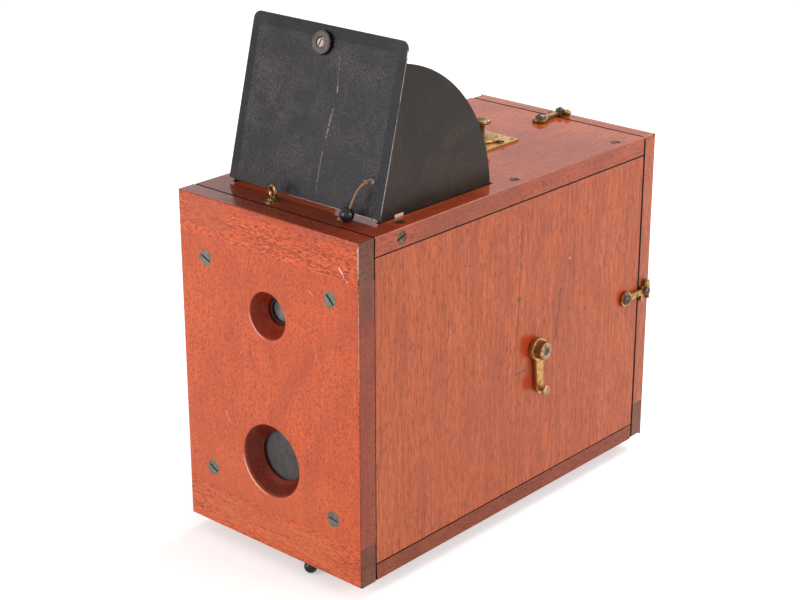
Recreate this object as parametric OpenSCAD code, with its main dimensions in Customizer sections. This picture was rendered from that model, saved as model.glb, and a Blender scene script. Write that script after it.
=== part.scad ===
// Quarter-plate magazine camera with a full-size reflex finder.
// +Z is up, +Y runs from the lenses to the back board, +X is the side with the changing lever.
// The origin is the centre of the base.

/* [Body] */
// Width of the body
body_w = 130; // [117:1:150]
// Depth over the front and back boards
body_d = 254.5; // [229:0.5:300]
// Height of the body
body_h = 192; // [173:1:211]
// Thickness of the front board
front_t = 12; // [11:0.5:14]
// Thickness of the back board
rear_t = 11.5; // [10:0.5:14]
// Thickness of the top board
top_t = 10.8; // [9.5:0.1:12]
// Thickness of the bottom board
bottom_t = 9.8; // [8:0.1:11]
// Thickness of the side panels
side_t = 9; // [8.5:0.5:9.5]
// Height of the lower cross-grained cleats
lower_cleat_h = 23; // [20:0.5:26]
// Height of the upper cross-grained cleats
upper_cleat_h = 22; // [18:0.5:26]
// Rounding of the front board's edges
front_edge_r = 1; // [0.5:0.5:2]
// Rounding of the back board's edges
rear_edge_r = 2; // [1:0.5:4]

/* [Front openings and lenses] */
// Height of the taking lens axis
take_z = 53; // [50:0.5:56]
// Height of the finder lens axis
view_z = 136.7; // [134:0.1:140]
// Mouth of the lower coned opening
take_mouth_d = 42.6; // [38:0.2:44]
// Throat of the lower coned opening
take_throat_d = 28.2; // [24:0.2:30]
// Mouth of the upper coned opening
view_mouth_d = 27; // [22:0.5:32]
// Throat of the upper coned opening
view_throat_d = 15.6; // [14:0.2:18]
// Depth of both cones
cone_depth = 8.5; // [7:0.1:9]
// Outer diameter of the finder lens tube
view_tube_d = 14.9; // [13:0.1:15]
// Outer diameter of the taking lens tube
take_tube_d = 27; // [24:0.5:30]
// Wall of the lens tubes
tube_wall = 1.4; // [1:0.1:2]
// Thickness of the lens board
lens_board_t = 6; // [5:0.5:7]

/* [Shutter and release] */
// Distance of the release stem from the middle
release_x = 22; // [21:0.5:23]
// Distance of the release stem behind the front face
release_in = 6.4; // [6:0.1:7]
// Diameter of the release ball
release_ball_d = 7.5; // [6:0.1:8]
// Depth of the ball's centre below the base
release_drop = 5; // [4.5:0.1:6]
// Diameter of the release stem
release_stem_d = 2.2; // [1.8:0.1:2.4]
// Sideways distance from the stem to the shutter pivot
shutter_arm = 11; // [10:0.5:12]
// Height of the shutter pivot above the taking lens axis
shutter_pivot_rise = 27; // [26:0.5:29]
// Diameter of the shutter disc
shutter_disc_d = 33; // [31:0.5:35]
// Thickness of the shutter blade
blade_t = 0.8; // [0.6:0.1:1]

/* [Hood] */
// Distance of the hood pivot behind the front face
hood_pivot_in = 32.2; // [31:0.1:33]
// Depth of the hood pivot below the top
hood_pivot_drop = 5; // [4.5:0.1:5.5]
// Angle of the raised hood plate from horizontal
hood_lean = 75.7; // [60:0.1:80]
// Overhang of the hood plate over the outside of each cheek
hood_overhang = 2.4; // [1:0.1:6]
// Narrowing of the hood plate towards its top, at each side
hood_taper = 0.5; // [0:0.1:3]
// Distance from the pivot to the top edge of the hood plate
hood_reach = 95.9; // [90:0.5:105]
// Distance from the pivot to the foot of the hood plate
hood_foot = 5.8; // [4:0.1:8]
// Radius of the hood cheeks
cheek_r = 85; // [80:0.5:85.5]
// Thickness of the hood's sheet metal
hood_t = 0.8; // [0.6:0.1:1]
// Distance of the cheeks' outsides from the insides of the side panels
cheek_in = 3.7; // [3:0.1:5]
// Distance from the pivot to the hood knob
hood_knob_reach = 86.5; // [80:0.5:90]
// Distance of the hood knob from the middle
hood_knob_x = -1.7; // [-5:0.1:5]
// Diameter of the hood knob
hood_knob_d = 12.6; // [9:0.2:14]
// Gap between the hood and the well
well_gap = 1; // [0.8:0.1:1.5]

/* [Finder] */
// Room at each side of the ground glass
screen_side_room = 6; // [1:0.5:12]
// Thickness of the ground glass
screen_t = 2; // [1.5:0.1:2.5]
// Room between the top of the finder mirror and the ground glass
mirror_room = 2.7; // [1.5:0.1:6]
// Thickness of the finder mirror
mirror_t = 2.5; // [2:0.1:3]
// Thickness of the mirror board
mirror_board_t = 4; // [3:0.5:5]

/* [Magazine] */
// Number of plate sheaths
sheath_count = 12; // [6:1:12]
// Spacing of the sheaths
sheath_pitch = 2.2; // [2.1:0.1:3]
// Room for the sheaths at each side of the magazine
sheath_side_room = 1; // [0.8:0.1:3]
// Room over the sheaths in the magazine
sheath_top_room = 1.5; // [1.2:0.1:4]
// Thickness of a sheath
sheath_t = 2; // [1.8:0.1:2]
// Thickness of a glass plate
plate_t = 1.3; // [1:0.1:1.4]
// Distance of the first sheath behind the front face
sheath_in = 147.6; // [147:0.1:150]
// Mean diameter of the follower springs
spring_d = 14; // [10:0.5:18]
// Diameter of the follower springs' wire
spring_wire = 1.2; // [0.8:0.1:1.6]
// Turns in a follower spring
spring_turns = 7; // [5:1:9]

/* [Changing lever] */
// Distance of the changing shaft behind the front face
shaft_in = 143.7; // [143:0.1:144.5]
// Depth of the changing shaft below the partition
shaft_drop = 3.5; // [3:0.1:5]
// Diameter of the changing shaft
shaft_d = 5; // [4:0.1:5.4]
// Length of the lever from shaft to finger button
lever_l = 24.5; // [20:0.5:30]
// Thickness of the lever
lever_t = 2.5; // [2:0.1:3]
// Diameter of the lever's round head
lever_head_d = 13; // [11:0.5:14]
// Diameter of the lever's milled knob
lever_knob_d = 10.6; // [9:0.2:12]

/* [Hooks] */
// Distance from a hook's pivot to its keeper
hook_reach = 19.5; // [18:0.5:22]
// Thickness of a hook
hook_t = 1.8; // [1.4:0.1:2.2]
// Height of the side hooks
side_hook_z = 96.5; // [80:0.5:120]
// Distance of the keepers behind the front of the back board
keeper_in = 5; // [4.5:0.1:6.5]

/* [Exposure dial] */
// Distance of the dial behind the front face
dial_in = 174; // [170:0.5:190]
// Side of the dial's square plate
dial_plate_w = 30; // [28:0.5:36]
// Diameter of the pointer disc
dial_disc_d = 19.2; // [16:0.2:22]
// Height of the knob's top above the camera
dial_h = 14; // [12:0.5:16]

/* [Small fittings] */
// Diameter of the front screw heads
front_screw_d = 7; // [6:0.1:7.4]
// Distance of the front screws outside the middle of their battens
front_screw_out = -2; // [-3:0.5:3]
// Height of the lower front screws
front_screw_low = 34.5; // [32:0.5:38]
// Depth of the upper front screws below the top
front_screw_drop = 34; // [30:0.5:42]
// Diameter of the top screw heads
top_screw_d = 6; // [5:0.1:6.4]
// Distance of the top screws from the insides of the side panels
top_screw_out = 2.3; // [2:0.1:5]
// Distance of the first top screws behind the front face
top_screw_front = 38; // [30:0.5:50]
// Distance of the last top screws before the back face
top_screw_back = 31.6; // [28:0.1:40]
// Diameter of the screw shanks
shank_d = 2.8; // [2.4:0.1:3]
// Diameter of the cord's bead
bead_d = 7.8; // [7:0.1:8]
// Distance of the screw eye from the middle
eye_x = -13.3; // [-20:0.1:-10]
// Distance of the screw eye behind the front face
eye_in = 19.7; // [18:0.1:20.5]

/* [Hidden] */
$fn = 48;

// Colours of the real finishes
mahogany = "sienna";
mahogany_side = "peru";
blackened = [0.13, 0.13, 0.14];
brass = "goldenrod";
steel = [0.36, 0.36, 0.34];

// Clearances
slip = 0.1;
free = 0.3;
cut = 1;

front_y = -body_d / 2;
rear_y = body_d / 2;
case_front = front_y + front_t;
case_back = rear_y - rear_t;
case_d = case_back - case_front;
inner_x = body_w / 2 - side_t;
ceiling_z = body_h - top_t;
floor_z = bottom_t;
partition_t = 2.5;
partition_z = (floor_z + ceiling_z) / 2;
cheek_x = inner_x - cheek_in;
hood_plate_w = 2 * (cheek_x + hood_overhang);

// Distance behind the front face, as a place along Y
function behind(distance) = front_y + distance;

// Stations along Y inside the case
batten_d = 6;
lens_board_y = case_front + batten_d;
chamber_y = lens_board_y + lens_board_t;
hood_pivot_y = behind(hood_pivot_in);
hood_pivot_z = body_h - hood_pivot_drop;
plate_rise = hood_pivot_drop + free;
hood_hub_r = 3.2;
well_front = hood_pivot_y;
hub_slot_front = hood_pivot_y - hood_hub_r - 0.7;
well_back = hood_pivot_y + cheek_r + well_gap + free;
well_x = cheek_x + well_gap;
finder_back_y = well_back + 2.5;
finder_back_t = 6;
shaft_y = behind(shaft_in);
sheath_y = behind(sheath_in);
follower_y = sheath_y + sheath_count * sheath_pitch + free;
follower_t = 4;
spring_y = follower_y + follower_t + free;

// Screws in the boards, with the rows of the top screws behind the front face
top_screw_x = inner_x + top_screw_out;
top_screw_rows = [top_screw_front, (top_screw_front + body_d - top_screw_back) / 2,
    body_d - top_screw_back];
front_screw_high = body_h - front_screw_drop;
front_screw_l = 17.5;
top_screw_l = 26;
screw_sink = 0.2;

// Hood
cheek_low = -78;
hood_corner_r = 4.5;
hood_hole_x = 45.2;
hood_hole_reach = 24.8;
hood_hole_w = 2.6;
hood_hole_h = 4;
pivot_screw_d = 3.2;
pivot_screw_l = body_w / 2 - cheek_x + 2.8;
knob_shank_d = 2.6;
knob_nut_d = 6;
knob_nut_t = 1.6;
knob_nut_room = 2.6;

// Shutter
blade_y = behind(10.4);
recess_y = behind(9.6);
shutter_plate_t = 1;
pivot_x = release_x + shutter_arm;
pivot_z = take_z + shutter_pivot_rise;
release_y = behind(release_in);
release_travel = release_ball_d / 2 + release_drop - 0.05;
pin_rise = release_travel / 2;
pin_d = 2;
pin_out = 0.4;
stem_room_over = 8;
shutter_turn = 2 * atan(pin_rise / shutter_arm);
shutter_reach = norm([pivot_x, shutter_pivot_rise]);
shutter_angle = atan2(-shutter_pivot_rise, -pivot_x);
shutter_gap = 1.5;
blade_tail = 9;
blade_tail_out = max(0, -blade_tail * sin(shutter_turn - shutter_angle));
shutter_room = shutter_disc_d / 2 + shutter_gap;
recess_low = take_z - shutter_room;
recess_high = pivot_z + shutter_reach * sin(shutter_angle - shutter_turn) + shutter_room;
pivot_d = 2;
pivot_head_d = 4;
ball_room = release_ball_d / 2 + 0.5;
ball_room_h = release_travel + 1;
spring_room_z = ball_room_h + 2;
spring_room_top = 40;
spring_room_w = 6.2;
collar_t = 1.2;
release_collar_z = spring_room_z + 0.4;

// Finder
screen_w = 2 * (inner_x - screen_side_room);
screen_z = ceiling_z - 5.2;
batten_h = 6;
mirror_stack = mirror_t + mirror_board_t;
mirror_l = (screen_z - partition_z - partition_t - mirror_room) / cos(45) - mirror_stack;
mirror_reach = (mirror_l + mirror_stack) / 2 * cos(45);
mirror_y = finder_back_y - batten_h - 2.35 - mirror_reach;
mirror_z = partition_z + partition_t + (mirror_l / 2 + mirror_stack) * cos(45);
mirror_w = screen_w - 2;

// Magazine
sheath_w = 2 * (inner_x - sheath_side_room);
sheath_h = partition_z - floor_z - 0.2 - sheath_top_room;
shaft_z = partition_z - shaft_drop;

// Light trap on the back board
trap_depth = 5;
trap_band = 6;

// Battens behind the front board, outside the shutter
front_batten_w = inner_x - pivot_x - 6;
front_screw_x = inner_x - front_batten_w / 2 + front_screw_out;

// Hooks
side_hook_y = case_back + keeper_in - hook_reach;
keeper_y = case_back + keeper_in;
hook_lift = 0.5;
hook_head_r = 4.7;
hook_bore = 3.4;
keeper_d = 2.8;
keeper_slot = 4.8;
dome_h = 2.2;
hook_screw_l = 6.5;
hook_screw_d = 7;
keeper_head_d = 5.6;
hook_ball_d = 4.2;

// Dial
dial_y = behind(dial_in);
dial_plate_t = 1.2;
dial_stem_d = 3;
dial_screw_d = 3;
dial_shank_d = 1.4;
dial_screw_l = 5.6;
dial_screw_sink = 0.1;

// Changing lever
lever_lift = 1.3;
lever_tilt = 4;
finger_x = sheath_w / 2 - 8;
finger_w = 4;
finger_reach = 9;
bush_d = 8;

// Cord, with distances behind the front face, from the inner knot to the frayed end
cord_d = 1;
cord_route = [[45.1, 37.4, 212.6], [45.2, 35, 213.2], [45.4, 32.5, 213.6], [45.3, 30, 213.4],
    [44.9, 27.6, 212.8], [43.6, 26, 211], [42.2, 24.8, 208.8], [41.3, 23.4, 206],
    [40.9, 22, 203.2], [40.5, 20.6, 200], [39, 19.9, 196.1], [37.9, 19.4, 193.2],
    [37, 19, 192.65], [35.6, 18.8, 192.65]];
bead_slip = 0.25;
bead_at = [39, 19.9, 196.1];
bead_from = [40.5, 20.6, 200];

// Points of a tube's rings, swept along a path with parallel sections
function unit(v) = v / norm(v);
function tangent(path, i) =
    unit(path[min(i + 1, len(path) - 1)] - path[max(i - 1, 0)]);
function side_axis(t) = abs(t[2]) < 0.9 ? unit(cross([0, 0, 1], t)) : unit(cross([0, 1, 0], t));
function ring(centre, t, r, sides) = let (a = side_axis(t), b = cross(t, a))
    [for (k = [0:sides - 1]) centre + r * (cos(360 * k / sides) * a + sin(360 * k / sides) * b)];

module swept_tube(path, r, sides) {
    count = len(path);
    points = [for (i = [0:count - 1]) each ring(path[i], tangent(path, i), r, sides)];
    walls = [for (i = [0:count - 2], k = [0:sides - 1]) let (n = (k + 1) % sides)
        each [[i * sides + k, (i + 1) * sides + k, (i + 1) * sides + n],
            [i * sides + k, (i + 1) * sides + n, i * sides + n]]];
    first = [for (k = [1:sides - 2]) [0, k, k + 1]];
    last = [for (k = [1:sides - 2]) [(count - 1) * sides, (count - 1) * sides + k + 1,
        (count - 1) * sides + k]];
    polyhedron(points, concat(walls, first, last));
}

// Coil along +Z, standing on z = 0
module coil(mean_d, wire, length, turns, steps) {
    rise = length - wire;
    path = [for (i = [0:turns * steps]) [mean_d / 2 * cos(360 * i / steps),
        mean_d / 2 * sin(360 * i / steps), wire / 2 + rise * i / (turns * steps)]];
    swept_tube(path, wire / 2, 6);
}

// Turns a profile drawn as (along Y, up Z) into a solid along X, centred
module along_x(width) rotate([90, 0, 90]) linear_extrude(width, center = true) children();

// Turns +Z of its children to +Y
module facing_back() rotate([-90, 0, 0]) children();

// Rectangle centred on x with its outer edge at y = 0 rounded at both ends
module eased_edge(width, depth, r) {
    translate([-width / 2, r]) square([width, depth - r]);
    translate([-width / 2 + r, 0]) square([width - 2 * r, r]);
    for (s = [-1, 1]) translate([s * (width / 2 - r), r]) circle(r);
}

// Front or back panel with eased outer edges, its outer face at y = 0
module end_panel(depth, r) intersection() {
    linear_extrude(body_h) eased_edge(body_w, depth, r);
    along_x(body_w) translate([0, body_h / 2]) mirror([1, -1]) eased_edge(body_h, depth, r);
}

module height_band(low, high) translate([-body_w, -body_d, low])
    cube([2 * body_w, 2 * body_d, high - low]);

// Slotted countersunk screw with the top of its head at z = 0 and its point downwards
module wood_screw(head_d, shank, length, turn) {
    head_h = (head_d - shank) / 2;
    tip = shank;
    difference() {
        union() {
            translate([0, 0, -head_h]) cylinder(d1 = shank, d2 = head_d, h = head_h);
            translate([0, 0, tip - length]) cylinder(d = shank, h = length - tip - head_h);
            translate([0, 0, -length]) cylinder(d1 = 0.4, d2 = shank, h = tip);
        }
        rotate(turn) translate([-head_d, -0.45, -head_h / 2]) cube([2 * head_d, 0.9, head_h]);
    }
}

// Countersunk hole for such a screw, open upwards
module wood_screw_hole(head_d, shank, length) {
    head_h = (head_d - shank) / 2;
    translate([0, 0, -head_h - slip]) cylinder(d1 = shank, d2 = head_d + slip, h = head_h + slip);
    cylinder(d = head_d + slip, h = cut);
    translate([0, 0, -length - free]) cylinder(d = shank + slip, h = length + free);
}

// Slotted dome-headed screw whose head sits on z = 0, with its shank below
module dome_screw(head_d, head_h, shank, length, turn) {
    r = (head_d * head_d / 4 + head_h * head_h) / (2 * head_h);
    difference() {
        union() {
            intersection() {
                translate([0, 0, head_h - r]) sphere(r);
                cylinder(d = head_d + cut, h = head_h + cut);
            }
            translate([0, 0, -length]) cylinder(d = shank, h = length + head_h / 4);
        }
        rotate(turn) translate([-head_d, -0.35, head_h * 0.6]) cube([2 * head_d, 0.7, head_h]);
    }
}

// Round knob with a milled rim and an eased face, standing on z = 0
module milled_knob(d, h, teeth) difference() {
    union() {
        cylinder(d = d, h = h - 0.6);
        translate([0, 0, h - 0.6]) cylinder(d1 = d, d2 = d - 1.2, h = 0.6);
    }
    for (i = [0:teeth - 1]) rotate(360 * i / teeth) translate([d / 2 + 0.12, 0, -cut])
        rotate(45) cube([0.7, 0.7, h + 2 * cut], center = false);
}

// Placings
module front_face(x, z) translate([x, front_y, z]) rotate([90, 0, 0]) children();
module top_face(x, y) translate([x, y, body_h]) children();
module right_face(y, z) translate([body_w / 2, y, z]) rotate([90, 0, 90]) children();
module on_both_sides() {
    children();
    mirror([1, 0, 0]) children();
}
module at_front_screws() for (x = [-front_screw_x, front_screw_x])
    for (z = [front_screw_low, front_screw_high]) front_face(x, z) children();
module at_top_screws() for (s = [-1, 1]) for (distance = top_screw_rows)
    top_face(s * top_screw_x, behind(distance)) children();
module at_hood() translate([0, hood_pivot_y, hood_pivot_z]) rotate([hood_lean, 0, 0]) children();

// Woodwork

module coned_opening(z, mouth, throat) translate([0, front_y, z]) facing_back() {
    translate([0, 0, -cut]) cylinder(d = mouth, h = cut);
    cylinder(d1 = mouth, d2 = throat, h = cone_depth);
    cylinder(d = throat, h = front_t + cut);
}

// Room behind the front board in which the shutter blade swings
module shutter_recess() translate([0, recess_y, 0]) rotate([90, 0, 0]) mirror([0, 0, 1])
    linear_extrude(front_t) {
        intersection() {
            translate([pivot_x, pivot_z]) circle(shutter_reach + shutter_room, $fn = 96);
            translate([pivot_x - body_w, recess_low])
                square([body_w + blade_tail_out + shutter_gap, recess_high - recess_low]);
        }
        translate([pivot_x, pivot_z]) circle(pivot_head_d / 2 + 3.5);
    }

// Groove for the release stem and its spring, open to the back of the front board
module release_groove() {
    groove_w = release_stem_d + 1.2;
    front_of = release_y - spring_room_w / 2;
    translate([release_x - groove_w / 2, release_y - groove_w / 2, -cut])
        cube([groove_w, front_t, pivot_z + pin_rise + stem_room_over + cut]);
    translate([release_x - spring_room_w / 2, front_of, spring_room_z])
        cube([spring_room_w, front_t, spring_room_top - spring_room_z]);
}

module front_board() color(mahogany) difference() {
    intersection() {
        translate([0, front_y, 0]) end_panel(front_t, front_edge_r);
        height_band(lower_cleat_h, body_h - upper_cleat_h);
    }
    coned_opening(take_z, take_mouth_d, take_throat_d);
    coned_opening(view_z, view_mouth_d, view_throat_d);
    shutter_recess();
    release_groove();
    at_front_screws() translate([0, 0, -screw_sink])
        wood_screw_hole(front_screw_d, shank_d, front_screw_l);
}

module front_cleats() color(mahogany) {
    intersection() {
        translate([0, front_y, 0]) end_panel(front_t, front_edge_r);
        height_band(body_h - upper_cleat_h, body_h);
    }
    difference() {
        intersection() {
            translate([0, front_y, 0]) end_panel(front_t, front_edge_r);
            height_band(0, lower_cleat_h);
        }
        translate([release_x, release_y, -cut]) cylinder(r = ball_room, h = ball_room_h + cut);
        translate([release_x, release_y, 0]) cylinder(d = release_stem_d + 2 * slip, h = lower_cleat_h);
        translate([release_x - spring_room_w / 2, release_y - spring_room_w / 2, spring_room_z])
            cube([spring_room_w, front_t, lower_cleat_h]);
    }
}

module top_board() color(mahogany) difference() {
    translate([-body_w / 2, case_front, ceiling_z]) cube([body_w, case_d, top_t]);
    translate([-well_x, well_front, ceiling_z - cut])
        cube([2 * well_x, well_back - well_front, top_t + 2 * cut]);
    on_both_sides() translate([cheek_x - hood_t - well_gap, hub_slot_front, ceiling_z - cut])
        cube([hood_t + 2 * well_gap, well_front - hub_slot_front + cut, top_t + 2 * cut]);
    at_top_screws() translate([0, 0, -screw_sink])
        wood_screw_hole(top_screw_d, shank_d, top_screw_l);
    on_both_sides() right_face(hood_pivot_y, hood_pivot_z) translate([0, 0, -screw_sink])
        wood_screw_hole(front_screw_d, pivot_screw_d, pivot_screw_l);
    translate([eye_x, behind(eye_in), body_h - 8]) cylinder(d = 2.2 + slip, h = 8 + cut);
    top_face(0, side_hook_y) translate([0, 0, -hook_screw_l - 0.5])
        cylinder(d = keeper_d + slip, h = hook_screw_l + 0.5 + cut);
    dial_screw_places() wood_screw_hole(dial_screw_d, dial_shank_d, dial_screw_l);
    translate([0, dial_y, body_h - 6]) cylinder(d = dial_stem_d + 2 * slip, h = 6 + cut);
    translate([hood_knob_x, hood_pivot_y + hood_knob_reach, body_h - knob_nut_room])
        cylinder(d = knob_nut_d + 2 * free + 1, h = knob_nut_room + cut);
}

module bottom_board() color(mahogany)
    translate([-body_w / 2, case_front, 0]) cube([body_w, case_d, bottom_t]);

module side_panel() difference() {
    translate([inner_x, case_front, floor_z]) cube([side_t, case_d, ceiling_z - floor_z]);
    at_top_screws() translate([0, 0, -screw_sink])
        wood_screw_hole(top_screw_d, shank_d, top_screw_l);
    right_face(side_hook_y, side_hook_z) translate([0, 0, -hook_screw_l - 0.5])
        cylinder(d = keeper_d + slip, h = hook_screw_l + 0.5 + cut);
}

module side_panel_right() color(mahogany_side) difference() {
    side_panel();
    right_face(shaft_y, shaft_z) translate([0, 0, -side_t - cut])
        cylinder(d = bush_d, h = side_t + 2 * cut);
}

module side_panel_left() color(mahogany_side) difference() {
    mirror([1, 0, 0]) side_panel();
    translate([-inner_x - 5, shaft_y, shaft_z]) rotate([0, 90, 0])
        cylinder(d = shaft_d + 2 * slip, h = 5 + cut);
}

module front_battens() color(mahogany) difference() {
    on_both_sides() translate([inner_x - front_batten_w, case_front, floor_z])
        cube([front_batten_w, batten_d, ceiling_z - floor_z]);
    at_front_screws() translate([0, 0, -screw_sink])
        wood_screw_hole(front_screw_d, shank_d, front_screw_l);
}

module rear_board() color(mahogany) difference() {
    intersection() {
        translate([0, rear_y, 0]) mirror([0, 1, 0]) end_panel(rear_t, rear_edge_r);
        height_band(lower_cleat_h, body_h - upper_cleat_h);
    }
    on_both_sides() right_face(keeper_y, side_hook_z) translate([0, 0, -hook_screw_l - 0.5])
        cylinder(d = keeper_d + slip, h = hook_screw_l + 0.5 + cut);
}

module rear_cleats() color(mahogany) difference() {
    intersection() {
        translate([0, rear_y, 0]) mirror([0, 1, 0]) end_panel(rear_t, rear_edge_r);
        union() {
            height_band(0, lower_cleat_h);
            height_band(body_h - upper_cleat_h, body_h);
        }
    }
    top_face(0, keeper_y) translate([0, 0, -hook_screw_l - 0.5])
        cylinder(d = keeper_d + slip, h = hook_screw_l + 0.5 + cut);
}

// Frame on the back board that enters the case and keeps light out
module light_trap() color(blackened) difference() {
    outer_x = inner_x - free;
    translate([-outer_x, case_back - trap_depth, floor_z + free])
        cube([2 * outer_x, trap_depth, ceiling_z - floor_z - 2 * free]);
    translate([trap_band - outer_x, case_back - trap_depth - cut, floor_z + free + trap_band])
        cube([2 * (outer_x - trap_band), trap_depth + 2 * cut,
            ceiling_z - floor_z - 2 * (free + trap_band)]);
}

// Lenses

module lens_board() color(blackened) difference() {
    translate([-inner_x, lens_board_y, floor_z]) cube([2 * inner_x, lens_board_t, ceiling_z - floor_z]);
    for (lens = [[view_z, view_tube_d], [take_z, take_tube_d]])
        translate([0, lens_board_y - cut, lens[0]]) facing_back()
            cylinder(d = lens[1] + slip, h = lens_board_t + 2 * cut);
}

// Tube along +Y with a flange that rests on the front of the lens board
module lens_tube(z, d, start, end, flange_w) translate([0, 0, z]) rotate([90, 0, 0])
    mirror([0, 0, 1]) rotate_extrude($fn = 64) {
        inner = d / 2 - tube_wall;
        translate([inner, start]) square([tube_wall, end - start]);
        translate([inner, lens_board_y - 2]) square([tube_wall + flange_w, 2]);
    }

// Glass bulging on both sides, along +Y
module lens_glass(z, d, y, t) translate([0, y, z]) facing_back() rotate_extrude($fn = 96)
    intersection() {
        r = d * 1.7;
        translate([0, t - r]) circle(r, $fn = 360);
        translate([0, r]) circle(r, $fn = 360);
        square([d / 2, t]);
    }

view_tube_y = behind(9.9);
view_tube_end = chamber_y + 8;
view_glass_t = 2.6;
view_glass_in = 0.6;
take_tube_y = case_front + shutter_plate_t + 0.8;
take_tube_end = chamber_y + 18;
take_glass_t = 4.6;
take_glass_in = 2;

module view_lens_tube() color(blackened)
    lens_tube(view_z, view_tube_d, view_tube_y, view_tube_end, 4.5);
module view_lens_glass() color("lightsteelblue") {
    glass_d = view_tube_d - 2 * tube_wall;
    lens_glass(view_z, glass_d, view_tube_y + view_glass_in, view_glass_t);
    lens_glass(view_z, glass_d, view_tube_end - view_glass_in - view_glass_t, view_glass_t);
}
module take_lens_tube() color(brass)
    lens_tube(take_z, take_tube_d, take_tube_y, take_tube_end, 5);
module take_lens_glass() color("lightsteelblue") {
    glass_d = take_tube_d - 2 * tube_wall;
    lens_glass(take_z, glass_d, take_tube_y + take_glass_in, take_glass_t);
    lens_glass(take_z, glass_d, take_tube_end - take_glass_in - take_glass_t, take_glass_t);
}

// Shutter

module shutter_plate() color(steel) difference() {
    translate([-pivot_x - 4, case_front, recess_low - 2])
        cube([2 * pivot_x + 9, shutter_plate_t, recess_high - recess_low + 4]);
    translate([0, case_front - cut, take_z]) facing_back()
        cylinder(d = take_throat_d - 2, h = shutter_plate_t + 2 * cut);
    translate([pivot_x, case_front - cut, pivot_z]) facing_back()
        cylinder(d = pivot_d + slip, h = shutter_plate_t + 2 * cut);
}

module shutter_pivot() color(steel) translate([pivot_x, 0, pivot_z]) facing_back() {
    translate([0, 0, blade_y - 0.6])
        cylinder(d = pivot_d, h = case_front + shutter_plate_t - blade_y + 0.6);
    translate([0, 0, blade_y - 0.7]) cylinder(d = pivot_head_d, h = 0.5);
    translate([0, 0, case_front + shutter_plate_t]) cylinder(d = pivot_head_d - 0.4, h = 0.6);
}

// The blade is a disc on an arm; a slot in the arm takes the pin of the release stem
module shutter_blade() color([0.2, 0.21, 0.2]) translate([0, blade_y, 0]) rotate([90, 0, 0])
    mirror([0, 0, 1]) linear_extrude(blade_t) difference() {
        union() {
            translate([0, take_z]) circle(d = shutter_disc_d, $fn = 72);
            translate([pivot_x, pivot_z]) circle(4.4);
            translate([pivot_x, pivot_z]) rotate(shutter_angle)
                translate([0, -4]) square([shutter_reach, 8]);
            translate([pivot_x, pivot_z]) rotate(shutter_angle) translate([0, -blade_tail])
                square([shutter_arm + 5, blade_tail + 1]);
        }
        translate([pivot_x, pivot_z]) circle(d = pivot_d + 2 * slip);
        translate([pivot_x, pivot_z]) rotate(180 + atan(pin_rise / shutter_arm))
            translate([shutter_arm - pin_d / 2 - 0.5, -pin_d / 2 - free])
                square([pin_d + 2.2, pin_d + 2 * free]);
    }

module release_stem() color(steel) {
    head_z = pivot_z - pin_rise;
    translate([release_x, release_y, -release_drop]) {
        cylinder(d = release_stem_d, h = head_z + release_drop);
        translate([0, 0, release_collar_z + release_drop]) cylinder(d = spring_room_w - 1.2, h = collar_t);
    }
    translate([release_x, release_y - release_stem_d / 2, head_z]) facing_back()
        cylinder(d = pin_d, h = blade_y + blade_t + pin_out - release_y + release_stem_d / 2);
}

module release_ball() color([0.08, 0.07, 0.07]) difference() {
    translate([release_x, release_y, -release_drop]) sphere(d = release_ball_d);
    translate([release_x, release_y, -release_drop]) cylinder(d = release_stem_d, h = release_ball_d);
}

module release_spring() color(steel) {
    foot = release_collar_z + collar_t + slip;
    translate([release_x, release_y, foot])
        coil(spring_room_w - 1.9, 0.5, spring_room_top - slip - foot, 6, 12);
}

// Finder

module finder_partition() color(blackened) translate([-inner_x, chamber_y, partition_z])
    cube([2 * inner_x, finder_back_y - chamber_y, partition_t]);

module finder_back() color(blackened) translate([-inner_x, finder_back_y, partition_z])
    cube([2 * inner_x, finder_back_t, ceiling_z - partition_z]);

// Lower edge of the mirror board's back, where it stands on the partition
mirror_foot_y = mirror_y - (mirror_l / 2 - mirror_stack) * cos(45);

module mirror_wedges() color(blackened) {
    low = partition_z + partition_t;
    high = screen_z - batten_h - free;
    for (s = [-1, 1]) translate([s * (mirror_w / 2 - 6), 0, 0]) along_x(8)
        polygon([[mirror_foot_y, low], [finder_back_y, low], [finder_back_y, high],
            [mirror_foot_y + high - low, high]]);
}

module mirror_slope(top, thickness, width, length) translate([0, mirror_y, mirror_z])
    rotate([45, 0, 0]) translate([-width / 2, -length / 2, top - thickness])
        cube([width, length, thickness]);

module mirror_board() color(blackened) mirror_slope(-mirror_t, mirror_board_t, mirror_w, mirror_l);
module finder_mirror() color("silver") mirror_slope(0, mirror_t, mirror_w - 2, mirror_l - 3);

module screen_battens() color(blackened) for (y = [chamber_y, finder_back_y - batten_h])
    translate([-screen_w / 2, y, screen_z - batten_h]) cube([screen_w, batten_h, batten_h]);

module ground_glass() color("gainsboro") translate([-screen_w / 2, chamber_y + free, screen_z])
    cube([screen_w, finder_back_y - chamber_y - 2 * free, screen_t]);

module screen_frame() color(blackened) translate([0, 0, screen_z + screen_t]) difference() {
    band = 6;
    length = finder_back_y - chamber_y - 2 * free;
    translate([-screen_w / 2, chamber_y + free, 0]) cube([screen_w, length, 1.2]);
    translate([band - screen_w / 2, chamber_y + free + band, -cut])
        cube([screen_w - 2 * band, length - 2 * band, 1.2 + 2 * cut]);
}

// Magazine

module store_floor() color(blackened) translate([-inner_x, sheath_y + 5, partition_z])
    cube([2 * inner_x, case_back - trap_depth - free - sheath_y - 5, partition_t]);

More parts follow.
